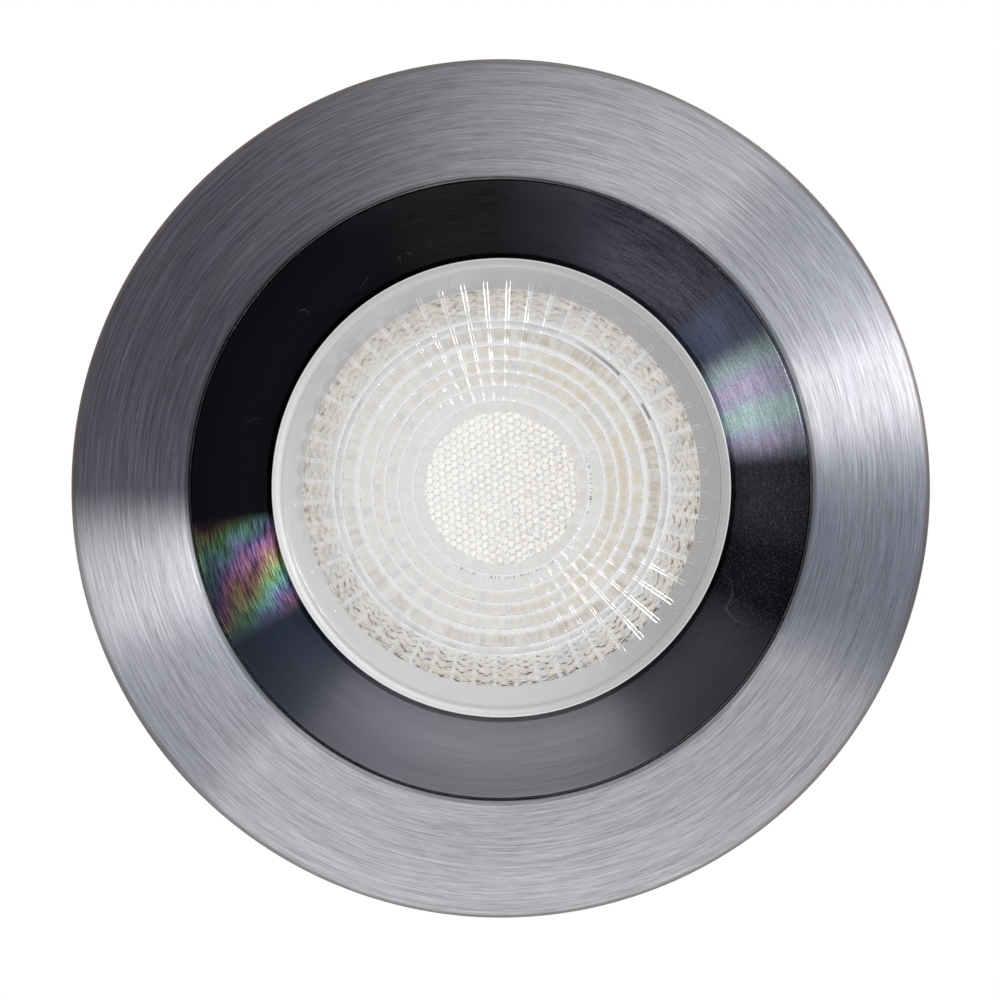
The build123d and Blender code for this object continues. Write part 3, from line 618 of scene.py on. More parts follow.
def flute_edges(paint, settings):
    """Painted highlight: two fine light lines along each flute, with a cap at its outer end, broken
    here and there and stronger outwards.
    """
    off = abs(paint.from_middle(paint.turn + 0.5)) * (paint.radius * paint.pitch)
    half = settings.flute_width / 2
    wide = paint.remap(
        paint.radius, settings.flute_start, settings.flute_end, half * HUB_SHARE, half
    )
    past = paint.math("MAXIMUM", paint.radius - (settings.flute_end - half), 0.0)
    away = abs((off * off + past * past).root() - wide)
    inside = paint.math("GREATER_THAN", paint.radius, settings.flute_start)
    painted_light_mask = paint.remap(paint.along(12.0, 260.0, 61.0), 0.35, 0.65, 0.25, 0.8)
    outward = paint.remap(paint.radius, 15.5 * MM, 20 * MM, 0.10, 0.6)
    share = paint.remap(away, 0.015 * MM, 0.055 * MM, 1.0, 0.0) * inside
    paint.lay(share * (painted_light_mask * outward), (0.84, 0.84, 0.86))


def fluted_acrylic(settings):
    """Clear moulding over a lit white cup: bricks of tint between ring steps, speckled outer rows,
    painted highlights along the ring steps, flutes and rim.
    """
    paint = LensPaint("lens_fluted_acrylic", settings)
    cream = tuple(settings.cream)
    grey = (0.57, 0.57, 0.59)
    steps = [share * settings.radius for share in LENS_STEPS]
    inner_rows, band_top, line_a, line_b, line_c, line_d, line_e, disc = steps
    rings = (
        (line_a + 0.05 * MM, band_top, 3, (0.57, 0.505, 0.415), (0.50, 0.455, 0.39), 1.0),
        (line_b + 0.15 * MM, line_a - 0.3 * MM, 2, cream, grey, 0.85),
        (line_c + 0.15 * MM, line_b - 0.2 * MM, 2, (0.72, 0.64, 0.50), grey, 1.0),
        (line_d + 0.1 * MM, line_c - 0.1 * MM, 2, cream, grey, 0.7),
        (line_e + 0.45 * MM, line_d - 0.1 * MM, 2, (0.70, 0.68, 0.63), grey, 0.4),
        (disc, line_e - 0.15 * MM, 1, (0.72, 0.68, 0.62), (0.66, 0.65, 0.65), 0.5),
    )
    for seed, ring in enumerate(rings, 11):
        paint.brick_ring(*ring, float(seed))
    flecks = paint.band(line_e + 0.12 * MM, line_e + 0.42 * MM, 0.04 * MM)
    flecks = flecks * paint.remap(paint.along(55.0, 900.0, 9.0), 0.53, 0.58)
    where = paint.math("MINIMUM", paint.fan(278, 48, 0.6) + paint.fan(2, 28), 1.0)
    paint.lay(flecks * where, (0.05, 0.05, 0.06))
    chance, _ = paint.bricks(1, 17.0, 0.2)
    tone = paint.mix(paint.remap(chance, 0.1, 0.9), (0.55, 0.55, 0.58), (0.72, 0.72, 0.745))
    streaks = paint.remap(paint.along(90.0, 1500.0, 18.0, 2.0), 0.42, 0.62, 0.0, 0.6)
    tone = paint.mix(streaks, tone, (0.80, 0.80, 0.815))
    paint.lay(paint.band(band_top, inner_rows, 0.04 * MM), tone)
    night = paint.remap(chance, 0.72, 0.78) * paint.fan(30, 40)
    core = paint.band(band_top + 0.2 * MM, inner_rows - 0.25 * MM)
    paint.lay(core * (night * 0.85), (0.05, 0.04, 0.07))
    border = settings.flute_end - 0.9 * MM
    outer_rows(paint, inner_rows + 0.08 * MM, border)
    for seed, (place, dark) in enumerate(zip(steps, (0.5, 0.75, 0.5, 0.75, 0.75, 0.5, 0.5)), 31):
        paint.ring_line(place, float(seed), dark)
    paint.ring_line(line_a - 0.26 * MM, 41.0, 0.8)
    frosted_border(paint, settings, border)
    flute_edges(paint, settings)
    grain = paint.along(60.0, 2400.0, 51.0, 2.0)
    return paint.finish(
        Roughness=paint.remap(grain, 0.3, 0.7, 0.10, 0.20),
        IOR=ACRYLIC_IOR,
        Transmission_Weight=0.12,
        Coat_Weight=1.0,
        Coat_Roughness=0.03,
        Normal=paint.bump(grain, 0.01 * MM, 0.1),
    )


def cell_acrylic(settings):
    """Small centre lenses: cream hearts, greyer seams, browner to the right, no two quite alike; the
    seams carry a painted highlight on the left and painted shade on the right.
    """
    paint = Paint("lens_centre_cells").polar()
    tint = paint.value("ShaderNodeAttribute", output="Fac", attribute_name="cell_tint")
    ramp = paint.node("ShaderNodeValToRGB", {0: tint})
    places = (0.0, 0.3, 0.7, 1.0)
    tones = ((0.72, 0.72, 0.74), (0.85, 0.84, 0.81), (0.89, 0.86, 0.80), (0.87, 0.80, 0.67))
    elements = ramp.color_ramp.elements
    while len(elements) < len(tones):
        elements.new(0.5)
    for element, place in zip(elements, places):
        element.position = place
    for element, tone in zip(elements, tones):
        element.color = rgba(tone)
    paint.colour = Value(paint, ramp.outputs[0])
    across = paint.radius * (paint.uy * 0.3 + paint.ux)
    right = paint.remap(across, -6 * MM, 6 * MM, 0.15, 0.95)
    paint.lay(right * -0.75 + 0.8, (0.92, 0.915, 0.89))
    pale = paint.remap(paint.noise(1700, 2.0, 0.6, 9.0), 0.53, 0.62, 0.0, 0.7)
    paint.lay(pale, (0.92, 0.92, 0.91))
    grey = paint.remap(paint.noise(2100, 2.0, 0.6, 4.0), 0.54, 0.62, 0.0, 0.8)
    paint.lay(grey * right, (0.62, 0.62, 0.66))
    # Painted highlight and painted shade on the seams round the domes: white on the left, browner on
    # the right.
    face = settings.rim_front + settings.rim_height
    seam = paint.remap(paint.level, face - 0.032 * MM, face - 0.006 * MM, 0.0, 0.95)
    crumb = paint.remap(paint.noise(2400, 2.0, 0.6, 6.0), 0.46, 0.57)
    seam_colour = paint.mix(crumb, (0.95, 0.945, 0.93), (0.40, 0.30, 0.21))
    paint.lay(seam, paint.mix(right, (0.96, 0.955, 0.94), seam_colour))
    drift = paint.noise(330, 2.0, 0.6, 2.0)
    return paint.finish(
        Roughness=paint.remap(drift, 0.3, 0.7, 0.16, 0.28),
        IOR=ACRYLIC_IOR,
        Coat_Weight=0.35,
        Coat_Roughness=0.08,
    )


def cast_metal(name, colour, grain=900, relief=0.06 * MM, roughness=(0.42, 0.60)):
    """Bead-blasted casting: fine pits, slow colour drift, edges brightened by wear."""
    paint = Paint(name)
    pits = paint.noise(grain * 4, 4.0, 0.6)
    drift = paint.noise(70, 3.0, 0.6, 3.0)
    paint.start(paint.remap(drift, 0.3, 0.7), scaled(colour, 0.78), scaled(colour, 1.16))
    wear = paint.value("ShaderNodeNewGeometry", output="Pointiness")
    paint.lay(paint.remap(wear, 0.53, 0.60, 0.0, 0.7), scaled(colour, 1.5))
    specks = paint.noise(grain * 7, 1.0, 0.5, 6.0)
    paint.lay(paint.remap(specks, 0.62, 0.72, 0.0, 0.4), scaled(colour, 0.5))
    return paint.finish(
        Metallic=1.0,
        Roughness=paint.remap(pits, 0.3, 0.7, *roughness),
        Normal=paint.bump(pits, relief, 0.4),
    )


def moulded_plastic(name, colour, gloss=0.42, grain=1500, relief=0.03 * MM):
    """Moulded plastic: fine spark-eroded grain, slight flow drift and dust in it."""
    paint = Paint(name)
    texture = paint.noise(grain * 3, 3.0, 0.6)
    drift = paint.noise(110, 2.0, 0.5, 2.0)
    paint.start(paint.remap(drift, 0.3, 0.7), scaled(colour, 0.88), colour)
    dust = paint.remap(paint.noise(2600, 1.0, 0.5, 5.0), 0.66, 0.76, 0.0, 0.25)
    paint.lay(dust, [0.5 * channel + 0.22 for channel in colour])
    return paint.finish(
        Roughness=paint.remap(texture, 0.3, 0.7, gloss - 0.07, gloss + 0.12),
        Normal=paint.bump(texture, relief, 0.35),
    )


def soft_rubber(name, colour, pores=2300):
    """Closed-cell rubber: small pores and a dull, slightly patchy skin."""
    paint = Paint(name)
    pore = paint.value("ShaderNodeTexVoronoi", {"Vector": paint.place, "Scale": pores}, "Distance")
    patch = paint.noise(130, 3.0, 0.6, 1.0)
    paint.start(paint.remap(patch, 0.3, 0.7), scaled(colour, 0.7), scaled(colour, 1.35))
    return paint.finish(
        Roughness=paint.remap(patch, 0.3, 0.7, 0.72, 0.88),
        Normal=paint.bump(paint.remap(pore, 0.0, 0.35), 0.05 * MM, 0.6),
    )


def plated_steel(name, colour, lines=(0, 0, 1)):
    """Plated or rolled steel: drawing lines along the marked axes, and a faint stain."""
    paint = Paint(name)
    stretch = {"Vector": paint.place, "Scale": [0.06 if along else 1.0 for along in lines]}
    drawn = paint.noise(2600, 3.0, 0.6, vector=paint.value("ShaderNodeMapping", stretch))
    stain = paint.noise(210, 3.0, 0.6, 4.0)
    paint.start(paint.remap(drawn, 0.35, 0.65), scaled(colour, 0.86), scaled(colour, 1.1))
    paint.lay(paint.remap(stain, 0.5, 0.75, 0.0, 0.25), scaled(colour, 0.62))
    return paint.finish(
        Metallic=1.0,
        Roughness=paint.remap(stain, 0.3, 0.7, 0.20, 0.36),
        Normal=paint.bump(drawn, 0.02 * MM, 0.3),
    )


def phosphor():
    """Yellow phosphor gel over the diodes: soft grain with a slightly deeper centre."""
    paint = Paint("lamp_phosphor").polar()
    grain = paint.noise(4200, 2.0, 0.6)
    paint.start(paint.remap(grain, 0.3, 0.7), (0.78, 0.60, 0.16), (0.88, 0.72, 0.27))
    paint.lay(paint.remap(paint.radius, 0.0, 5 * MM, 0.35, 0.0), (0.74, 0.52, 0.10))
    return paint.finish(Roughness=0.38, Normal=paint.bump(grain, 0.03 * MM, 0.4))


def floor_finish():
    """Plain pale backdrop with a very faint texture."""
    paint = Paint("stage_floor")
    pale = (0.86, 0.86, 0.86)
    paint.start(paint.remap(paint.noise(3.0), 0.3, 0.7), scaled(pale, 0.985), pale)
    return paint.finish(Roughness=0.7)


def rounded(corners, steps):
    """Outline with its corners rounded; a corner is (radius, level) or (radius, level, rounding)."""
    points = []
    for index, corner in enumerate(corners):
        here = Vector(corner[:2])
        size = corner[2] if len(corner) > 2 else 0.0
        if size <= 0:
            points.append(here)
            continue
        before = (Vector(corners[index - 1][:2]) - here).normalized()
        after = (Vector(corners[(index + 1) % len(corners)][:2]) - here).normalized()
        half = before.angle(after) / 2
        reach = size / math.tan(half)
        centre = here + (before + after).normalized() * (size / math.sin(half))
        first = here + before * reach - centre
        swing = first.angle_signed(here + after * reach - centre)
        for step in range(steps + 1):
            points.append(centre + Matrix.Rotation(-swing * step / steps, 2) @ first)
    return points


def new_object(name, mesh=None):
    """Object in the scene, with an empty mesh if none is given."""
    made = bpy.data.objects.new(name, mesh or bpy.data.meshes.new(name))
    bpy.context.scene.collection.objects.link(made)
    return made


def smooth(mesh, angle):
    """Smooth shading that keeps edges sharper than an angle."""
    mesh.shade_smooth()
    mesh.set_sharp_from_angle(angle=math.radians(angle))


def edit(mesh, change):
    """Runs a change on a mesh's points, edges and faces."""
    work = bmesh.new()
    work.from_mesh(mesh)
    change(work)
    work.to_mesh(mesh)
    work.free()


def face_outwards(work):
    """Merges points that coincide and turns every face outwards."""
    bmesh.ops.remove_doubles(work, verts=work.verts, dist=1e-7)
    bmesh.ops.recalc_face_normals(work, faces=work.faces)


def mesh_from(name, points, faces, closed=True):
    """Mesh from points and faces; a closed one gets its faces turned outwards."""
    mesh = bpy.data.meshes.new(name)
    mesh.from_pydata(points, [], faces)
    if closed:
        edit(mesh, face_outwards)
    mesh.update()
    return mesh


def around(reach, angle, level):
    """Point at a distance from the axis, an angle about it and a level."""
    return (reach * math.cos(angle), reach * math.sin(angle), level)


def grid_faces(rows, columns, loop_rows=False, loop_columns=True):
    """Faces between neighbours in a grid of points that is stored row by row."""
    faces = []
    for row in range(rows if loop_rows else rows - 1):
        here = row * columns
        after = (row + 1) % rows * columns
        for column in range(columns if loop_columns else columns - 1):
            side = (column + 1) % columns
            faces.append((here + column, here + side, after + side, after + column))
    return faces


def turned(name, corners, segments, steps):
    """Closed outline turned about the light's axis."""
    outline = rounded(corners, steps)
    turns = [FULL_TURN * step / segments for step in range(segments)]
    points = [around(point.x, turn, point.y) for point in outline for turn in turns]
    mesh = mesh_from(name, points, grid_faces(len(outline), segments, loop_rows=True))
    smooth(mesh, angle=32)
    return new_object(name, mesh)


def dress(piece, material, nodes=(), body=FIXED):
    """Gives a finished piece its material and its body, and hides the nodes that it stands for."""
    piece.data.materials.clear()
    piece.data.materials.append(material)
    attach(piece, body)
    if nodes:
        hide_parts(*nodes)


def applied(piece):
    """Turns an object's modifiers into its mesh."""
    graph = bpy.context.evaluated_depsgraph_get()
    graph.update()
    mesh = bpy.data.meshes.new_from_object(piece.evaluated_get(graph))
    piece.modifiers.clear()
    piece.data = mesh


def merge_flat(work):
    """Merges the points that coincide and the faces that lie flat beside each other."""
    bmesh.ops.remove_doubles(work, verts=work.verts, dist=2e-6)
    flat = math.radians(0.4)
    bmesh.ops.dissolve_limit(
        work, angle_limit=flat, use_dissolve_boundaries=False, verts=work.verts, edges=work.edges
    )


def soften(node, name, material, width, segments=2, body=FIXED):
    """Dressed copy of a packed node with its edges softened."""
    mesh = frame["nodes"][node].data.copy()
    mesh.name = name
    edit(mesh, merge_flat)
    piece = new_object(name, mesh)
    bevel = piece.modifiers.new("Soft edges", "BEVEL")
    bevel.width = width
    bevel.segments = segments
    bevel.limit_method = "ANGLE"
    bevel.angle_limit = math.radians(28)
    applied(piece)
    smooth(piece.data, angle=30)
    dress(piece, material, (node,), body)


def paint_node(node, material):
    """Gives a packed node, which stays as it is, its material."""
    piece = frame["nodes"][node]
    if not piece.material_slots:
        piece.data.materials.append(material)
    for place in piece.material_slots:
        place.material = material


def geometry_tree(name, inputs):
    """New geometry tree with its inputs, by name and kind, and one for the material."""
    tree = bpy.data.node_groups.new(name, "GeometryNodeTree")
    for label, kind in {**inputs, "Material": "Material"}.items():
        tree.interface.new_socket(label, in_out="INPUT", socket_type=f"NodeSocket{kind}")
    tree.interface.new_socket("Geometry", in_out="OUTPUT", socket_type="NodeSocketGeometry")
    work = Tree(tree)
    given = {socket.name: Value(work, socket) for socket in work.node("NodeGroupInput").outputs}
    return work, given


def finish_tree(work, given, geometry):
    """Gives a geometry tree's result its material, and gives back the tree."""
    inputs = {"Geometry": geometry, "Material": given["Material"]}
    work.node("NodeGroupOutput", {0: work.value("GeometryNodeSetMaterial", inputs)})
    return work.tree


def place_copies(work, points, shape, rotation):
    """Puts a turned copy of an object's shape on every point."""
    instance = work.value("GeometryNodeObjectInfo", {"Object": shape}, "Geometry")
    inputs = {"Points": points, "Instance": instance, "Rotation": rotation}
    return work.value("GeometryNodeInstanceOnPoints", inputs)


def spread_tree():
    """Geometry tree that repeats one shape round the light's axis and merges the seams."""
    inputs = {"Shape": "Object", "Count": "Int", "Start angle": "Float", "Merge distance": "Float"}
    work, given = geometry_tree("Spread round the axis", inputs)
    points = work.value("GeometryNodePoints", {"Count": given["Count"]})
    turn = work.value("GeometryNodeInputIndex") * FULL_TURN / given["Count"]
    rotation = work.vector(0.0, 0.0, turn + given["Start angle"])
    copies = place_copies(work, points, given["Shape"], rotation)
    real = work.value("GeometryNodeRealizeInstances", {0: copies})
    seams = {"Geometry": real, "Distance": given["Merge distance"]}
    return finish_tree(work, given, work.value("GeometryNodeMergeByDistance", seams))


def honeycomb_tree():
    """Geometry tree that fills a disc with small domes in a honeycomb, each with its own tint."""
    inputs = {"Dome": "Object", "Disc radius": "Float", "Pitch": "Float", "Level": "Float"}
    inputs.update({"Turn": "Float", "Columns": "Int", "Seed": "Int"})
    work, given = geometry_tree("Honeycomb of domes", inputs)
    columns = given["Columns"]
    points = work.value("GeometryNodePoints", {"Count": columns * columns})
    index = work.value("GeometryNodeInputIndex")
    row = ((index + 0.5) / columns).floor()
    half = (columns - 1.0) * 0.5
    x = (index - row * columns - half + (row * 0.5).fract()) * given["Pitch"]
    y = (row - half) * (given["Pitch"] * (math.sqrt(3) / 2))
    spot = {"Geometry": points, "Position": work.vector(x, y, given["Level"])}
    placed = work.value("GeometryNodeSetPosition", spot)
    outside = work.value(
        "FunctionNodeCompare",
        {"A": (x * x + y * y).root(), "B": given["Disc radius"]},
        data_type="FLOAT",
        operation="GREATER_THAN",
    )
    spare = {"Geometry": placed, "Selection": outside}
    kept = work.value("GeometryNodeDeleteGeometry", spare, domain="POINT")
    seed = {"Seed": given["Seed"]}
    chance = work.value("FunctionNodeRandomValue", seed, 1, data_type="FLOAT")
    tint = {"Geometry": kept, "Name": "cell_tint", "Value": chance}
    tinted = work.value("GeometryNodeStoreNamedAttribute", tint, data_type="FLOAT", domain="POINT")
    reach = {0: (-0.13, -0.13, -0.3), 1: (0.13, 0.13, 0.3), **seed}
    tilt = work.value("FunctionNodeRandomValue", reach, data_type="FLOAT_VECTOR")
    copies = place_copies(work, tinted, given["Dome"], tilt)
    turn = {"Geometry": copies, "Rotation": work.vector(0.0, 0.0, given["Turn"])}
    real = work.value("GeometryNodeRealizeInstances", {0: work.value("GeometryNodeTransform", turn)})
    return finish_tree(work, given, real)


def wire_tree():
    """Geometry tree that lays a round wire along a line of edges."""
    inputs = {"Geometry": "Geometry", "Wire radius": "Float", "Sides": "Int"}
    work, given = geometry_tree("Round wire", inputs)
    size = {"Radius": given["Wire radius"], "Resolution": given["Sides"]}
    circle = work.value("GeometryNodeCurvePrimitiveCircle", size)
    path = work.value("GeometryNodeMeshToCurve", {0: given["Geometry"]})
    tube = {"Curve": path, "Profile Curve": circle, "Fill Caps": True}
    return finish_tree(work, given, work.value("GeometryNodeCurveToMesh", tube))


TREES = {}


def grow(piece, maker, **values):
    """Runs a geometry tree on a piece and keeps its result as a plain mesh."""
    if maker not in TREES:
        TREES[maker] = maker()
    modifier = piece.modifiers.new("Shape", "NODES")
    modifier.node_group = TREES[maker]
    for item in TREES[maker].interface.items_tree:
        if item.in_out == "INPUT" and item.socket_type != "NodeSocketGeometry":
            modifier[item.identifier] = values[item.name.lower().replace(" ", "_")]
    applied(piece)
    piece.data.materials.clear()
    piece.data.materials.append(values["material"])


def spread(name, shape, count, start_angle, material, merge_distance=1e-8):
    """Repeats a shape round the axis as one piece, and removes the single shape."""
    piece = new_object(name)
    values = {"shape": shape, "count": count, "start_angle": start_angle}
    grow(piece, spread_tree, **values, merge_distance=merge_distance, material=material)
    bpy.data.objects.remove(shape)
    return piece


class DOWNLIGHT_OT_trim(bpy.types.Operator):
    """Makes the brushed trim ring and the soft ring behind it"""

    bl_idname = "downlight.trim"
    bl_label = "Trim ring"

    def execute(self, context):
        size = context.scene.downlight.trim
        depth = low("ceiling_gasket").z
        ring = (
            (size.opening, 0.0),
            (size.opening, size.front + size.chamfer, 0.05 * MM),
            (size.opening + size.chamfer, size.front, 0.12 * MM),
            (size.radius, size.front, size.rounding),
            (size.radius, 0.0, 0.1 * MM),
            (size.gasket_outer, 0.0, 0.08 * MM),
            (size.gasket_outer, depth),
            (size.gasket_inner, depth),
            (size.gasket_inner, 0.0, 0.08 * MM),
        )
        piece = turned("trim_ring", ring, segments=384, steps=6)
        dress(piece, brushed_steel(size), ("fascia_ring",))
        play = 0.15 * MM
        inner = size.gasket_inner + play
        outer = size.gasket_outer - play
        foam = (
            (inner, depth, 0.05 * MM),
            (outer, depth, 0.05 * MM),
            (outer, 0.0, 0.3 * MM),
            (inner, 0.0, 0.3 * MM),
        )
        rubber = soft_rubber("seal_foam", (0.045, 0.045, 0.048))
        seal = turned("ceiling_seal", foam, segments=256, steps=4)
        dress(seal, rubber, ("ceiling_gasket",))
        return {"FINISHED"}


class DOWNLIGHT_OT_bezel(bpy.types.Operator):
    """Makes the dark polished cone round the lens"""

    bl_idname = "downlight.bezel"
    bl_label = "Bezel"

    def execute(self, context):
        size = context.scene.downlight.bezel
        top = high("front_bezel").z
        thread = 28.6 * MM
        bore = 27.3 * MM
        edge = 0.2 * MM
        rise = (size.throat - size.front) / (size.radius - edge - size.throat_radius)
        lift = size.wall * math.hypot(1, rise)
        back = size.throat - (thread - size.throat_radius) * rise + lift
        lip = size.throat_radius + (size.throat + lift) / rise
        cone = (
            (size.throat_radius, size.throat - 0.55 * MM, 0.08 * MM),
            (size.radius - edge, size.front, 0.06 * MM),
            (size.radius, size.front + edge, 0.06 * MM),
            (size.radius, 0.0, 0.1 * MM),
            (lip, 0.0),
            (thread, back),
            (thread, top, 0.15 * MM),
            (bore, top, 0.15 * MM),
            (bore, LENS_SEAT),
            (size.throat_radius, LENS_SEAT),
        )
        piece = turned("bezel_cone", cone, segments=384, steps=3)
        dress(piece, dark_chrome(size), ("front_bezel",))
        return {"FINISHED"}


def lens_front(size):
    """Front of the lens from the rim inwards: (radius, level, share of the flute's depth)."""
    face = size.rim_front + size.rim_height
    bead = size.radius - size.rim_width
    rounding = 0.12 * MM
    steps = 8
    rows = []
    for step in range(steps + 1):
        turn = math.pi / 2 * step / steps
        out = size.radius - rounding + rounding * math.cos(turn)
        rows.append((out, size.rim_front + rounding * (1 - math.sin(turn)), 0))
    for step in range(steps + 1):
        turn = math.pi * step / steps
        level = face + (size.rim_front - face) * (1 + math.cos(turn)) / 2
        rows.append((bead + 0.3 * MM - 0.5 * MM * step / steps, level, 0))
    flute_end = ((-0.08, 0), (0.0, 0.15), (0.04, 0.45), (0.09, 0.75), (0.15, 0.93), (0.22, 1.0))
    rows += [(size.flute_end - back * MM, face, share) for back, share in flute_end]
    for place in LENS_STEPS[:-1]:
        for step, rise in ((0.13, 0.0), (0.06, 1.0), (0.0, 0.0), (-0.06, 0.6), (-0.12, 0.0)):
            rows.append((place * size.radius + step * MM, face - size.ridge * rise, 1.0))
    hub = ((0.15, 0.8), (0.05, 0.3), (0.0, 0.0), (-0.2, 0.0))
    rows += [(size.flute_start + out * MM, face, share) for out, share in hub]
    return rows


def lens_rear(size):
    """Rear of the lens, outside inwards: flange, ring teeth and the centre."""
    back = LENS_SEAT + 1.6 * MM
    outer = (0.870, *LENS_STEPS[1:-1])
    inner = (LENS_STEPS[0], *LENS_STEPS[2:])
    tall = (1.0, 0.52, 0.47, 0.42, 0.38, 0.35, 0.32)
    rows = [(size.radius, LENS_SEAT), (size.flange_radius, LENS_SEAT), (size.flange_radius, back)]
    for outside, inside, share in zip(outer, inner, tall):
        tip = inside + 0.14 * (outside - inside)
        rows.append((outside * size.radius, back))
        rows.append((tip * size.radius, back + share * (size.rear - back)))
        rows.append((inside * size.radius - 0.02 * MM, back))
    dome = 2.0 * MM
    ball = (size.flute_start**2 + dome**2) / (2 * dome)
    for share in (0.92, 0.8, 0.65, 0.5, 0.35, 0.2, 0.08):
        reach = size.flute_start * share
        rows.append((reach, back + dome - ball + math.sqrt(ball**2 - reach**2)))
    return rows


class DOWNLIGHT_OT_lens(bpy.types.Operator):
    """Makes the fluted lens and the small lenses at its centre"""

    bl_idname = "downlight.lens"
    bl_label = "Lens"

    def execute(self, context):
        size = context.scene.downlight.lens
        acrylic = fluted_acrylic(size)
        ring = (size.flute_count, size.flute_turn, acrylic)
        lens = spread("lens_optic", self.sector(size), *ring, merge_distance=1e-6)
        lens.data.shade_smooth()
        edit(lens.data, lambda work: self.close(work, size))
        dress(lens, acrylic, ("lens",))
        cells = cell_acrylic(size)
        dress(self.cells(size, cells), cells)
        return {"FINISHED"}

    def sector(self, size):
        """One flute's share of the lens, as an open strip round its front and back."""
        pitch = FULL_TURN / size.flute_count
        profile = ((1.34, 0.0), (1.0, -0.031), (0.62, 0.0036), (0.50, 0.075), (0.3, 0.09))
        bottom = profile[-1][1]
        columns = 2 * len(profile) + 5
        even = [(step / (columns - 1) - 0.5) * pitch for step in range(columns)]
        points = []
        for radius, level in reversed(lens_rear(size)):
            points += [around(radius, turn, level) for turn in even]
        for radius, level, share in lens_front(size):
            part = (radius - size.flute_start) / (size.flute_end - size.flute_start)
            width = size.flute_width * (HUB_SHARE + (1 - HUB_SHARE) * min(1.0, max(0.0, part)))
            half = width / 2 / radius
            opened = 0.4 + 0.6 * min(1.0, share * 1.5)
            side = [(-0.5 * pitch, 0.0), (-0.3 * pitch, 0.0)]
            side += [(-wide * half * opened, dip) for wide, dip in profile]
            whole = side + [(0.0, bottom)] + [(-turn, dip) for turn, dip in reversed(side)]
            points += [around(radius, turn, level + width / 2 * share * dip) for turn, dip in whole]
        faces = grid_faces(len(points) // columns, columns, loop_columns=False)
        return new_object("lens_sector", mesh_from("lens_sector", points, faces, closed=False))

    def close(self, work, size):
        """Closes the two small holes on the axis, turns faces outwards and marks sharp edges."""
        holes = [edge for edge in work.edges if edge.is_boundary]
        bmesh.ops.holes_fill(work, edges=holes, sides=0)
        bmesh.ops.recalc_face_normals(work, faces=work.faces)
        for edge in work.edges:
            middle = (edge.verts[0].co + edge.verts[1].co) / 2
            in_front = middle.z < size.rim_front + MM
            fluted = in_front and size.flute_start < middle.xy.length < size.flute_end
            edge.smooth = edge.calc_face_angle() < math.radians(3 if fluted else 50)

    def dome(self, pitch):
        """One small lens: a shallow dome on a foot that is nearly a hexagon."""
        sides, rings = 12, 4
        height, foot = 0.06 * MM, 0.02 * MM
        points = [(0.0, 0.0, -height)]
        for ring in range(1, rings + 1):
            share = ring / rings
            for step in range(1, sides + 1):
                angle = FULL_TURN * step / sides
                corner = abs(math.cos(angle % HEXAGON - HEXAGON / 2))
                reach = pitch / 2 / max(0.866, corner) * share * 0.985
                points.append(around(reach, angle, -height * math.cos(share * math.pi / 2)))
        points += [(x, y, foot) for x, y, _ in points[-sides:]]
        faces = [(0, 1 + step, 1 + (step + 1) % sides) for step in range(sides)]
        for start in range(1, 1 + rings * sides, sides):
            for step in range(sides):
                a, b = start + step, start + (step + 1) % sides
                faces.append((a, a + sides, b + sides, b))
        faces.append(tuple(range(len(points) - sides, len(points))))
        mesh = mesh_from("lens_cell", points, faces)
        mesh.shade_smooth()
        return new_object("lens_cell", mesh)

    def cells(self, size, material):
        """Honeycomb of small domes on the centre of the face."""
        dome = self.dome(size.cell_pitch)
        piece = new_object("lens_centre_cells")
        grow(
            piece,
            honeycomb_tree,
            dome=dome,
            disc_radius=size.flute_start + size.cell_pitch * 0.35,
            pitch=size.cell_pitch,
            level=size.rim_front + size.rim_height,
            turn=size.cell_turn,
            columns=25,
            seed=7,
            material=material,
        )
        bpy.data.objects.remove(dome)
        edit(piece.data, lambda work: self.trim_cells(work, size.flute_start))
        return piece

    def trim_cells(self, work, radius):
        """Pulls what lies past the centre disc in to its edge."""
        for vertex in work.verts:
            out = vertex.co.xy.length
            if out > radius:
                vertex.co.xy *= radius / out
        bmesh.ops.dissolve_degenerate(work, dist=1e-7, edges=work.edges)


class DOWNLIGHT_OT_lamp(bpy.types.Operator):
    """Finishes the lamp, its holder, the cup and the seals inside"""

    bl_idname = "downlight.lamp"
    bl_label = "Lamp and cup"

    def execute(self, context):
        white = (0.80, 0.80, 0.78)
        black = (0.03, 0.03, 0.032)
        finishes = {
            "reflector_cup": moulded_plastic("cup_white_plastic", (0.86, 0.86, 0.84), gloss=0.5),
            "cob_holder": moulded_plastic("holder_white_plastic", (0.78, 0.77, 0.73), gloss=0.4),
            "cob_substrate": moulded_plastic("lamp_white_ceramic", white, gloss=0.3, grain=3000),
            "cob_dam": moulded_plastic("dam_white_silicone", white, gloss=0.3),
            "cob_phosphor": phosphor(),
            "thermal_pad": soft_rubber("pad_grey_rubber", (0.30, 0.34, 0.38), pores=3200),
            "lens_gasket": soft_rubber("seal_black_rubber", black, pores=5200),
            "cover_seal": soft_rubber("seal_cover_rubber", black, pores=5200),
        }
        for node, material in finishes.items():
            paint_node(node, material)
        return {"FINISHED"}


class DOWNLIGHT_OT_body(bpy.types.Operator):
    """Makes the cast housing and the finned heat sink"""

    bl_idname = "downlight.body"
    bl_label = "Cast body"

    def execute(self, context):
        fine = cast_metal("housing_cast_aluminium", (0.50, 0.505, 0.51))
        soften("housing", "housing_casting", fine, width=0.18 * MM)
        texture = {"grain": 700, "relief": 0.09 * MM, "roughness": (0.46, 0.66)}
        coarse = cast_metal("sink_cast_aluminium", (0.36, 0.365, 0.37), **texture)
        soften("heat_sink", "heat_sink_casting", coarse, width=0.22 * MM)
        return {"FINISHED"}


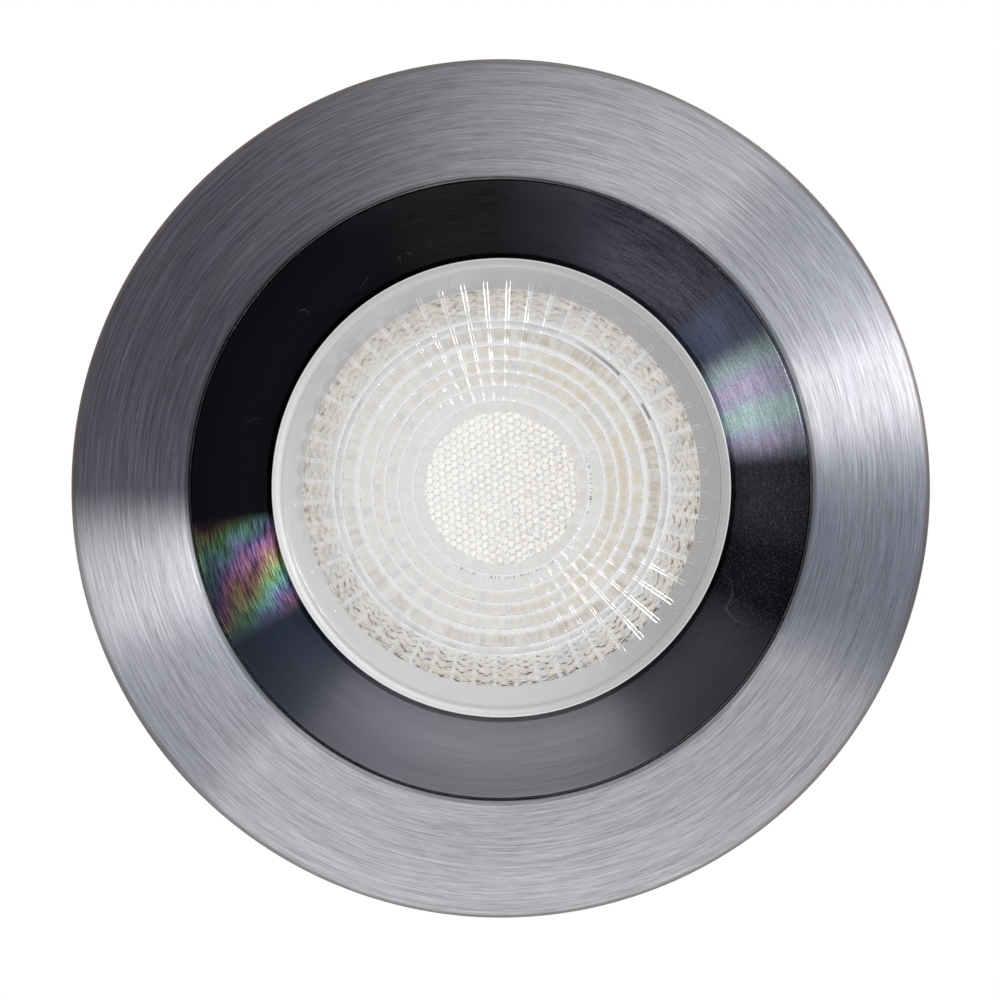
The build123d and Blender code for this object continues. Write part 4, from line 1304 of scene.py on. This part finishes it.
class DOWNLIGHT_OT_cover(bpy.types.Operator):
    """Makes the rear cover and the cable gland"""

    bl_idname = "downlight.cover"
    bl_label = "Rear cover and gland"

    def execute(self, context):
        texture = {"gloss": 0.5, "grain": 1100, "relief": 0.05 * MM}
        coat = moulded_plastic("cover_black_coating", (0.030, 0.030, 0.033), **texture)
        soften("rear_cover", "rear_cover_plate", coat, width=0.15 * MM)
        tone = (0.022, 0.022, 0.024)
        black = moulded_plastic("gland_black_plastic", tone, gloss=0.38, grain=1700)
        for node in ("gland_body", "gland_cap"):
            soften(node, f"{node}_moulding", black, width=0.25 * MM, segments=3)
        paint_node("gland_locknut", black)
        rubber = soft_rubber("gland_soft_rubber", (0.03, 0.03, 0.032), pores=4200)
        paint_node("gland_seal", rubber)
        return {"FINISHED"}


class DOWNLIGHT_OT_wiring(bpy.types.Operator):
    """Finishes the terminal block and the inner leads"""

    bl_idname = "downlight.wiring"
    bl_label = "Terminal block and leads"

    def execute(self, context):
        white = moulded_plastic("terminal_white_plastic", (0.74, 0.74, 0.70), gloss=0.4)
        paint_node("terminal_block", white)
        brown = moulded_plastic("lead_brown_sleeve", (0.13, 0.055, 0.025), grain=2200)
        paint_node("lead_live", brown)
        blue = moulded_plastic("lead_blue_sleeve", (0.025, 0.085, 0.26), grain=2200)
        paint_node("lead_neutral", blue)
        zinc = plated_steel("inner_screw_zinc", (0.62, 0.63, 0.64))
        for node in ("block_screw", "terminal_screws", "holder_screws"):
            paint_node(node, zinc)
        return {"FINISHED"}


def screw_mesh(head, height, shank, bite, level):
    """Round-headed screw along +Z with a hexagon socket; the head sits on a level."""
    segments = 48
    socket = head * 0.52
    rows = [(0.0, -bite), (shank * 0.7, -bite), (shank, -bite + shank * 0.5), (shank, 0.0)]
    rows += [(head * 0.96, 0.0), (head, head * 0.04), (head, height * 0.42)]
    for step in range(1, 7):
        turn = math.pi / 2 * step / 6
        out = head * 0.72 + head * 0.28 * math.cos(turn)
        rows.append((out, height * (0.42 + 0.58 * math.sin(turn))))
    rows.append((socket * 1.12, height))
    round_rows = len(rows)
    rows += [(socket, height - head * 0.05), (socket * 0.98, height * 0.42), (0.0, height * 0.30)]
    points = []
    for index, (radius, z) in enumerate(rows):
        for step in range(segments):
            angle = FULL_TURN * step / segments
            corner = math.cos(HEXAGON / 2) / math.cos(angle % HEXAGON - HEXAGON / 2)
            reach = radius * (1.0 if index < round_rows else corner)
            points.append(around(reach, angle, z + level))
    return mesh_from("one_screw", points, grid_faces(len(rows), segments))


class DOWNLIGHT_OT_screws(bpy.types.Operator):
    """Makes the visible screws with their hexagon sockets"""

    bl_idname = "downlight.screws"
    bl_label = "Screws"

    def execute(self, context):
        zinc = plated_steel("screw_zinc_plating", (0.62, 0.63, 0.645))
        for node, name, head, height, shank, start in (
            ("fascia_screws", "trim_screws", 1.6 * MM, 1.4 * MM, 1.0 * MM, 90),
            ("body_screws", "sink_screws", 2.3 * MM, 1.8 * MM, 1.25 * MM, 90),
            ("cover_screws", "cover_plate_screws", 1.6 * MM, 1.4 * MM, 1.0 * MM, 270),
        ):
            top = high(node).z
            circle = (high(node).y if start == 90 else -low(node).y) - head
            mesh = screw_mesh(head, height, shank, top - height - low(node).z, top - height)
            mesh.transform(Matrix.Translation((circle, 0, 0)))
            self.repeat(name, node, mesh, zinc, count=3, start=math.radians(start))
        self.bracket_screws(zinc)
        return {"FINISHED"}

    def repeat(self, name, node, mesh, zinc, count, start):
        """Spreads a screw round the axis as one piece."""
        piece = spread(name, new_object(mesh.name, mesh), count, start, zinc)
        smooth(piece.data, angle=35)
        dress(piece, zinc, (node,))

    def bracket_screws(self, zinc):
        """Four screws that lie along X, two on each bracket."""
        node = "bracket_screws"
        head, height = 1.6 * MM, 1.4 * MM
        shank, bite = 1.0 * MM, 4.5 * MM
        inset = high(node).y - head
        level = (high(node).z + low(node).z) / 2
        one = screw_mesh(head, height, shank, bite, high(node).x - height)
        one.transform(Matrix.Translation((0, 0, level)) @ Matrix.Rotation(math.pi / 2, 4, "Y"))
        pair = bmesh.new()
        for y in (-inset, inset):
            start = len(pair.verts)
            pair.from_mesh(one)
            bmesh.ops.translate(pair, verts=pair.verts[start:], vec=(0, y, 0))
        mesh = bpy.data.meshes.new("screw_pair")
        pair.to_mesh(mesh)
        pair.free()
        self.repeat("bracket_plate_screws", node, mesh, zinc, count=2, start=0.0)


def spring_points(pivot, side, size):
    """Centre line of a clip spring: fixed leg, coil round the hinge, leg along the arm."""
    sweep = size.arm_angle + math.radians(90 + 360 * size.whole_turns)
    rise = size.pitch / FULL_TURN
    half = sweep * rise / 2
    coil = size.coil_radius
    bend = 0.1 * MM
    points = [Vector((-coil, -half, size.fixed_leg)), Vector((-coil, -half, bend))]
    steps = 150
    for step in range(steps + 1):
        turn = sweep * step / steps
        angle = math.pi + turn
        points.append(Vector((coil * math.cos(angle), turn * rise - half, coil * math.sin(angle))))
    way = Vector((-math.sin(math.pi + sweep), 0, math.cos(math.pi + sweep)))
    points.append(points[-1] + way * bend)
    points.append(points[-1] + way * (size.arm_leg - bend))
    return [(side * (p.x + pivot.x), side * p.y, p.z + pivot.z) for p in points]


class DOWNLIGHT_OT_clips(bpy.types.Operator):
    """Makes the clip brackets, arms, pins and torsion springs"""

    bl_idname = "downlight.clips"
    bl_label = "Spring clips"

    def execute(self, context):
        across = (0, 1, 0)
        strip = plated_steel("clip_rolled_steel", (0.56, 0.57, 0.58), lines=across)
        zinc = plated_steel("pin_zinc_plating", (0.62, 0.63, 0.645), lines=across)
        for side in ("right", "left"):
            for part, kind, material, slot, width, segments, body in (
                ("bracket", "plate", strip, "clip_steel", 0.14 * MM, 2, FIXED),
                ("arm", "strip", strip, "clip_steel", 0.12 * MM, 2, f"clip_{side}"),
                ("pin", "rivet", zinc, "screw_zinc", 0.2 * MM, 3, FIXED),
            ):
                name = f"clip_{part}_{kind}_{side}"
                soften(f"clip_{part}_{side}", name, material, width, segments, body)
            self.spring(side, context.scene.downlight.spring)
        return {"FINISHED"}

    def spring(self, side, size):
        """Torsion spring coiled round the hinge, with its legs on the bracket and along the arm at
        rest.
        """
        joint = next(j for j in frame["joints"] if j["name"] == f"clip_{side}_fold")
        pivot = Vector((abs(joint["pos_m"][0]), 0, joint["pos_m"][2]))
        facing = 1 if side == "right" else -1
        points = spring_points(pivot, facing, size)
        piece = new_object(f"clip_spring_wire_{side}")
        piece.data.from_pydata(points, [(step - 1, step) for step in range(1, len(points))], [])
        tone = (0.46, 0.46, 0.47)
        wire = plated_steel(f"spring_drawn_wire_{side}", tone, lines=(1, 1, 1))
        grow(piece, wire_tree, wire_radius=size.wire_radius, sides=14, material=wire)
        smooth(piece.data, angle=40)
        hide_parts(f"clip_spring_{side}")
        reach = high(f"clip_spring_{side}").y - size.wire_radius
        start = (facing * pivot.x, -facing * reach, pivot.z)
        end = (facing * pivot.x, facing * reach, pivot.z)
        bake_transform(piece)


def area_lamp(name, angle, dip, distance, size, power, colour):
    """Soft lamp below the ceiling plane, at an angle in the picture, aimed at the lens."""
    down = math.radians(dip)
    flat = distance * math.cos(down)
    place = Vector(around(flat, -math.radians(angle), -distance * math.sin(down)))
    lamp = bpy.data.lights.new(name, "AREA")
    lamp.shape = "RECTANGLE"
    lamp.size, lamp.size_y = size
    lamp.energy = power
    lamp.color = colour
    made = bpy.data.objects.new(name, lamp)
    made.location = place
    made.rotation_mode = "QUATERNION"
    made.rotation_quaternion = (-place).to_track_quat("-Z", "Y")
    bpy.context.scene.collection.objects.link(made)


class DOWNLIGHT_OT_stage(bpy.types.Operator):
    """Makes the camera, the lamps, the background and the floor"""

    bl_idname = "downlight.stage"
    bl_label = "Stage"

    def execute(self, context):
        size = context.scene.downlight.stage
        self.camera(context.scene, size)
        self.background(context.scene)
        self.floor(size)
        for lamp in (  # name, angle, dip, distance, size, power, colour
            ("key_lamp", 14.5, 56, 0.75, (0.10, 0.14), 0.68, (1.0, 0.99, 0.98)),
            ("glint_lamp", 23.5, 79.6, 0.76, (0.05, 0.05), 0.25, (1.0, 1.0, 1.0)),
            ("side_lamp", 275, 50, 0.9, (0.7, 0.7), 2.0, (1.0, 0.99, 0.97)),
            ("rear_lamp", 40, -50, 1.0, (0.6, 0.6), 6.0, (1.0, 1.0, 1.0)),
        ):
            area_lamp(*lamp)
        context.scene.view_settings.view_transform = "Standard"
        return {"FINISHED"}

    def camera(self, scene, size):
        """Camera below the fitting, looking up, a little off its axis."""
        target = Vector((0.0, size.drop, low("fascia_ring").z))
        place = target + Vector((size.shift_x, size.shift_y, -size.distance))
        back = (place - target).normalized()
        right = Vector((0, -1, 0)).cross(back).normalized()
        turn = Matrix((right, back.cross(right), back)).transposed().to_4x4()
        lens = bpy.data.cameras.new("front_camera")
        lens.sensor_width = 36
        lens.lens = lens.sensor_width * (place - target).length / size.view_width
        lens.clip_end = 20
        camera = bpy.data.objects.new("front_camera", lens)
        camera.matrix_world = Matrix.Translation(place) @ turn
        scene.collection.objects.link(camera)
        scene.camera = camera

    def background(self, scene):
        """White behind the object and in its reflections, and a softer level for its light."""
        world = bpy.data.worlds.new("studio")
        world.use_nodes = True
        scene.world = world
        world.node_tree.nodes.clear()
        work = Tree(world.node_tree)
        path = work.node("ShaderNodeLightPath").outputs
        kinds = ("Camera", "Glossy", "Transmission")
        camera, glossy, transmission = (Value(work, path[f"Is {kind} Ray"]) for kind in kinds)
        seen = work.math("MINIMUM", camera + glossy + transmission, 1.0)
        lighting = 0.78
        level = seen * (1.0 - lighting) + lighting
        shade = work.value("ShaderNodeBackground", {0: (1, 1, 1, 1), 1: level})
        work.node("ShaderNodeOutputWorld", {0: shade})

    def floor(self, size):
        """Large pale disc far below the fitting."""
        floor = new_object("stage_floor")
        disc = bmesh.new()
        bmesh.ops.create_circle(disc, cap_ends=True, segments=96, radius=3.2)
        bmesh.ops.translate(disc, verts=disc.verts, vec=(0, 0, size.floor))
        disc.to_mesh(floor.data)
        disc.free()
        floor.data.materials.append(floor_finish())


OPERATORS = (
    DOWNLIGHT_OT_stage,
    DOWNLIGHT_OT_trim,
    DOWNLIGHT_OT_bezel,
    DOWNLIGHT_OT_lens,
    DOWNLIGHT_OT_lamp,
    DOWNLIGHT_OT_body,
    DOWNLIGHT_OT_cover,
    DOWNLIGHT_OT_wiring,
    DOWNLIGHT_OT_screws,
    DOWNLIGHT_OT_clips,
)


class DOWNLIGHT_PT_panel(bpy.types.Panel):
    """Lists the downlight's pieces"""

    bl_idname = "DOWNLIGHT_PT_panel"
    bl_label = "Downlight"
    bl_space_type = "VIEW_3D"
    bl_region_type = "UI"
    bl_category = "Downlight"

    def draw(self, context):
        for operator in OPERATORS:
            self.layout.operator(operator.bl_idname)


CLASSES = (
    DownlightTrimSettings,
    DownlightBezelSettings,
    DownlightLensSettings,
    DownlightSpringSettings,
    DownlightStageSettings,
    DownlightSettings,
    *OPERATORS,
    DOWNLIGHT_PT_panel,
)


def register():
    for kind in CLASSES:
        bpy.utils.register_class(kind)
    bpy.types.Scene.downlight = group_setting(DownlightSettings, "Downlight")


def unregister():
    del bpy.types.Scene.downlight
    for kind in reversed(CLASSES):
        bpy.utils.unregister_class(kind)


def main():
    register()
    for operator in OPERATORS:
        group, name = operator.bl_idname.split(".")
        getattr(getattr(bpy.ops, group), name)()


if __name__ == "__main__":
    main()
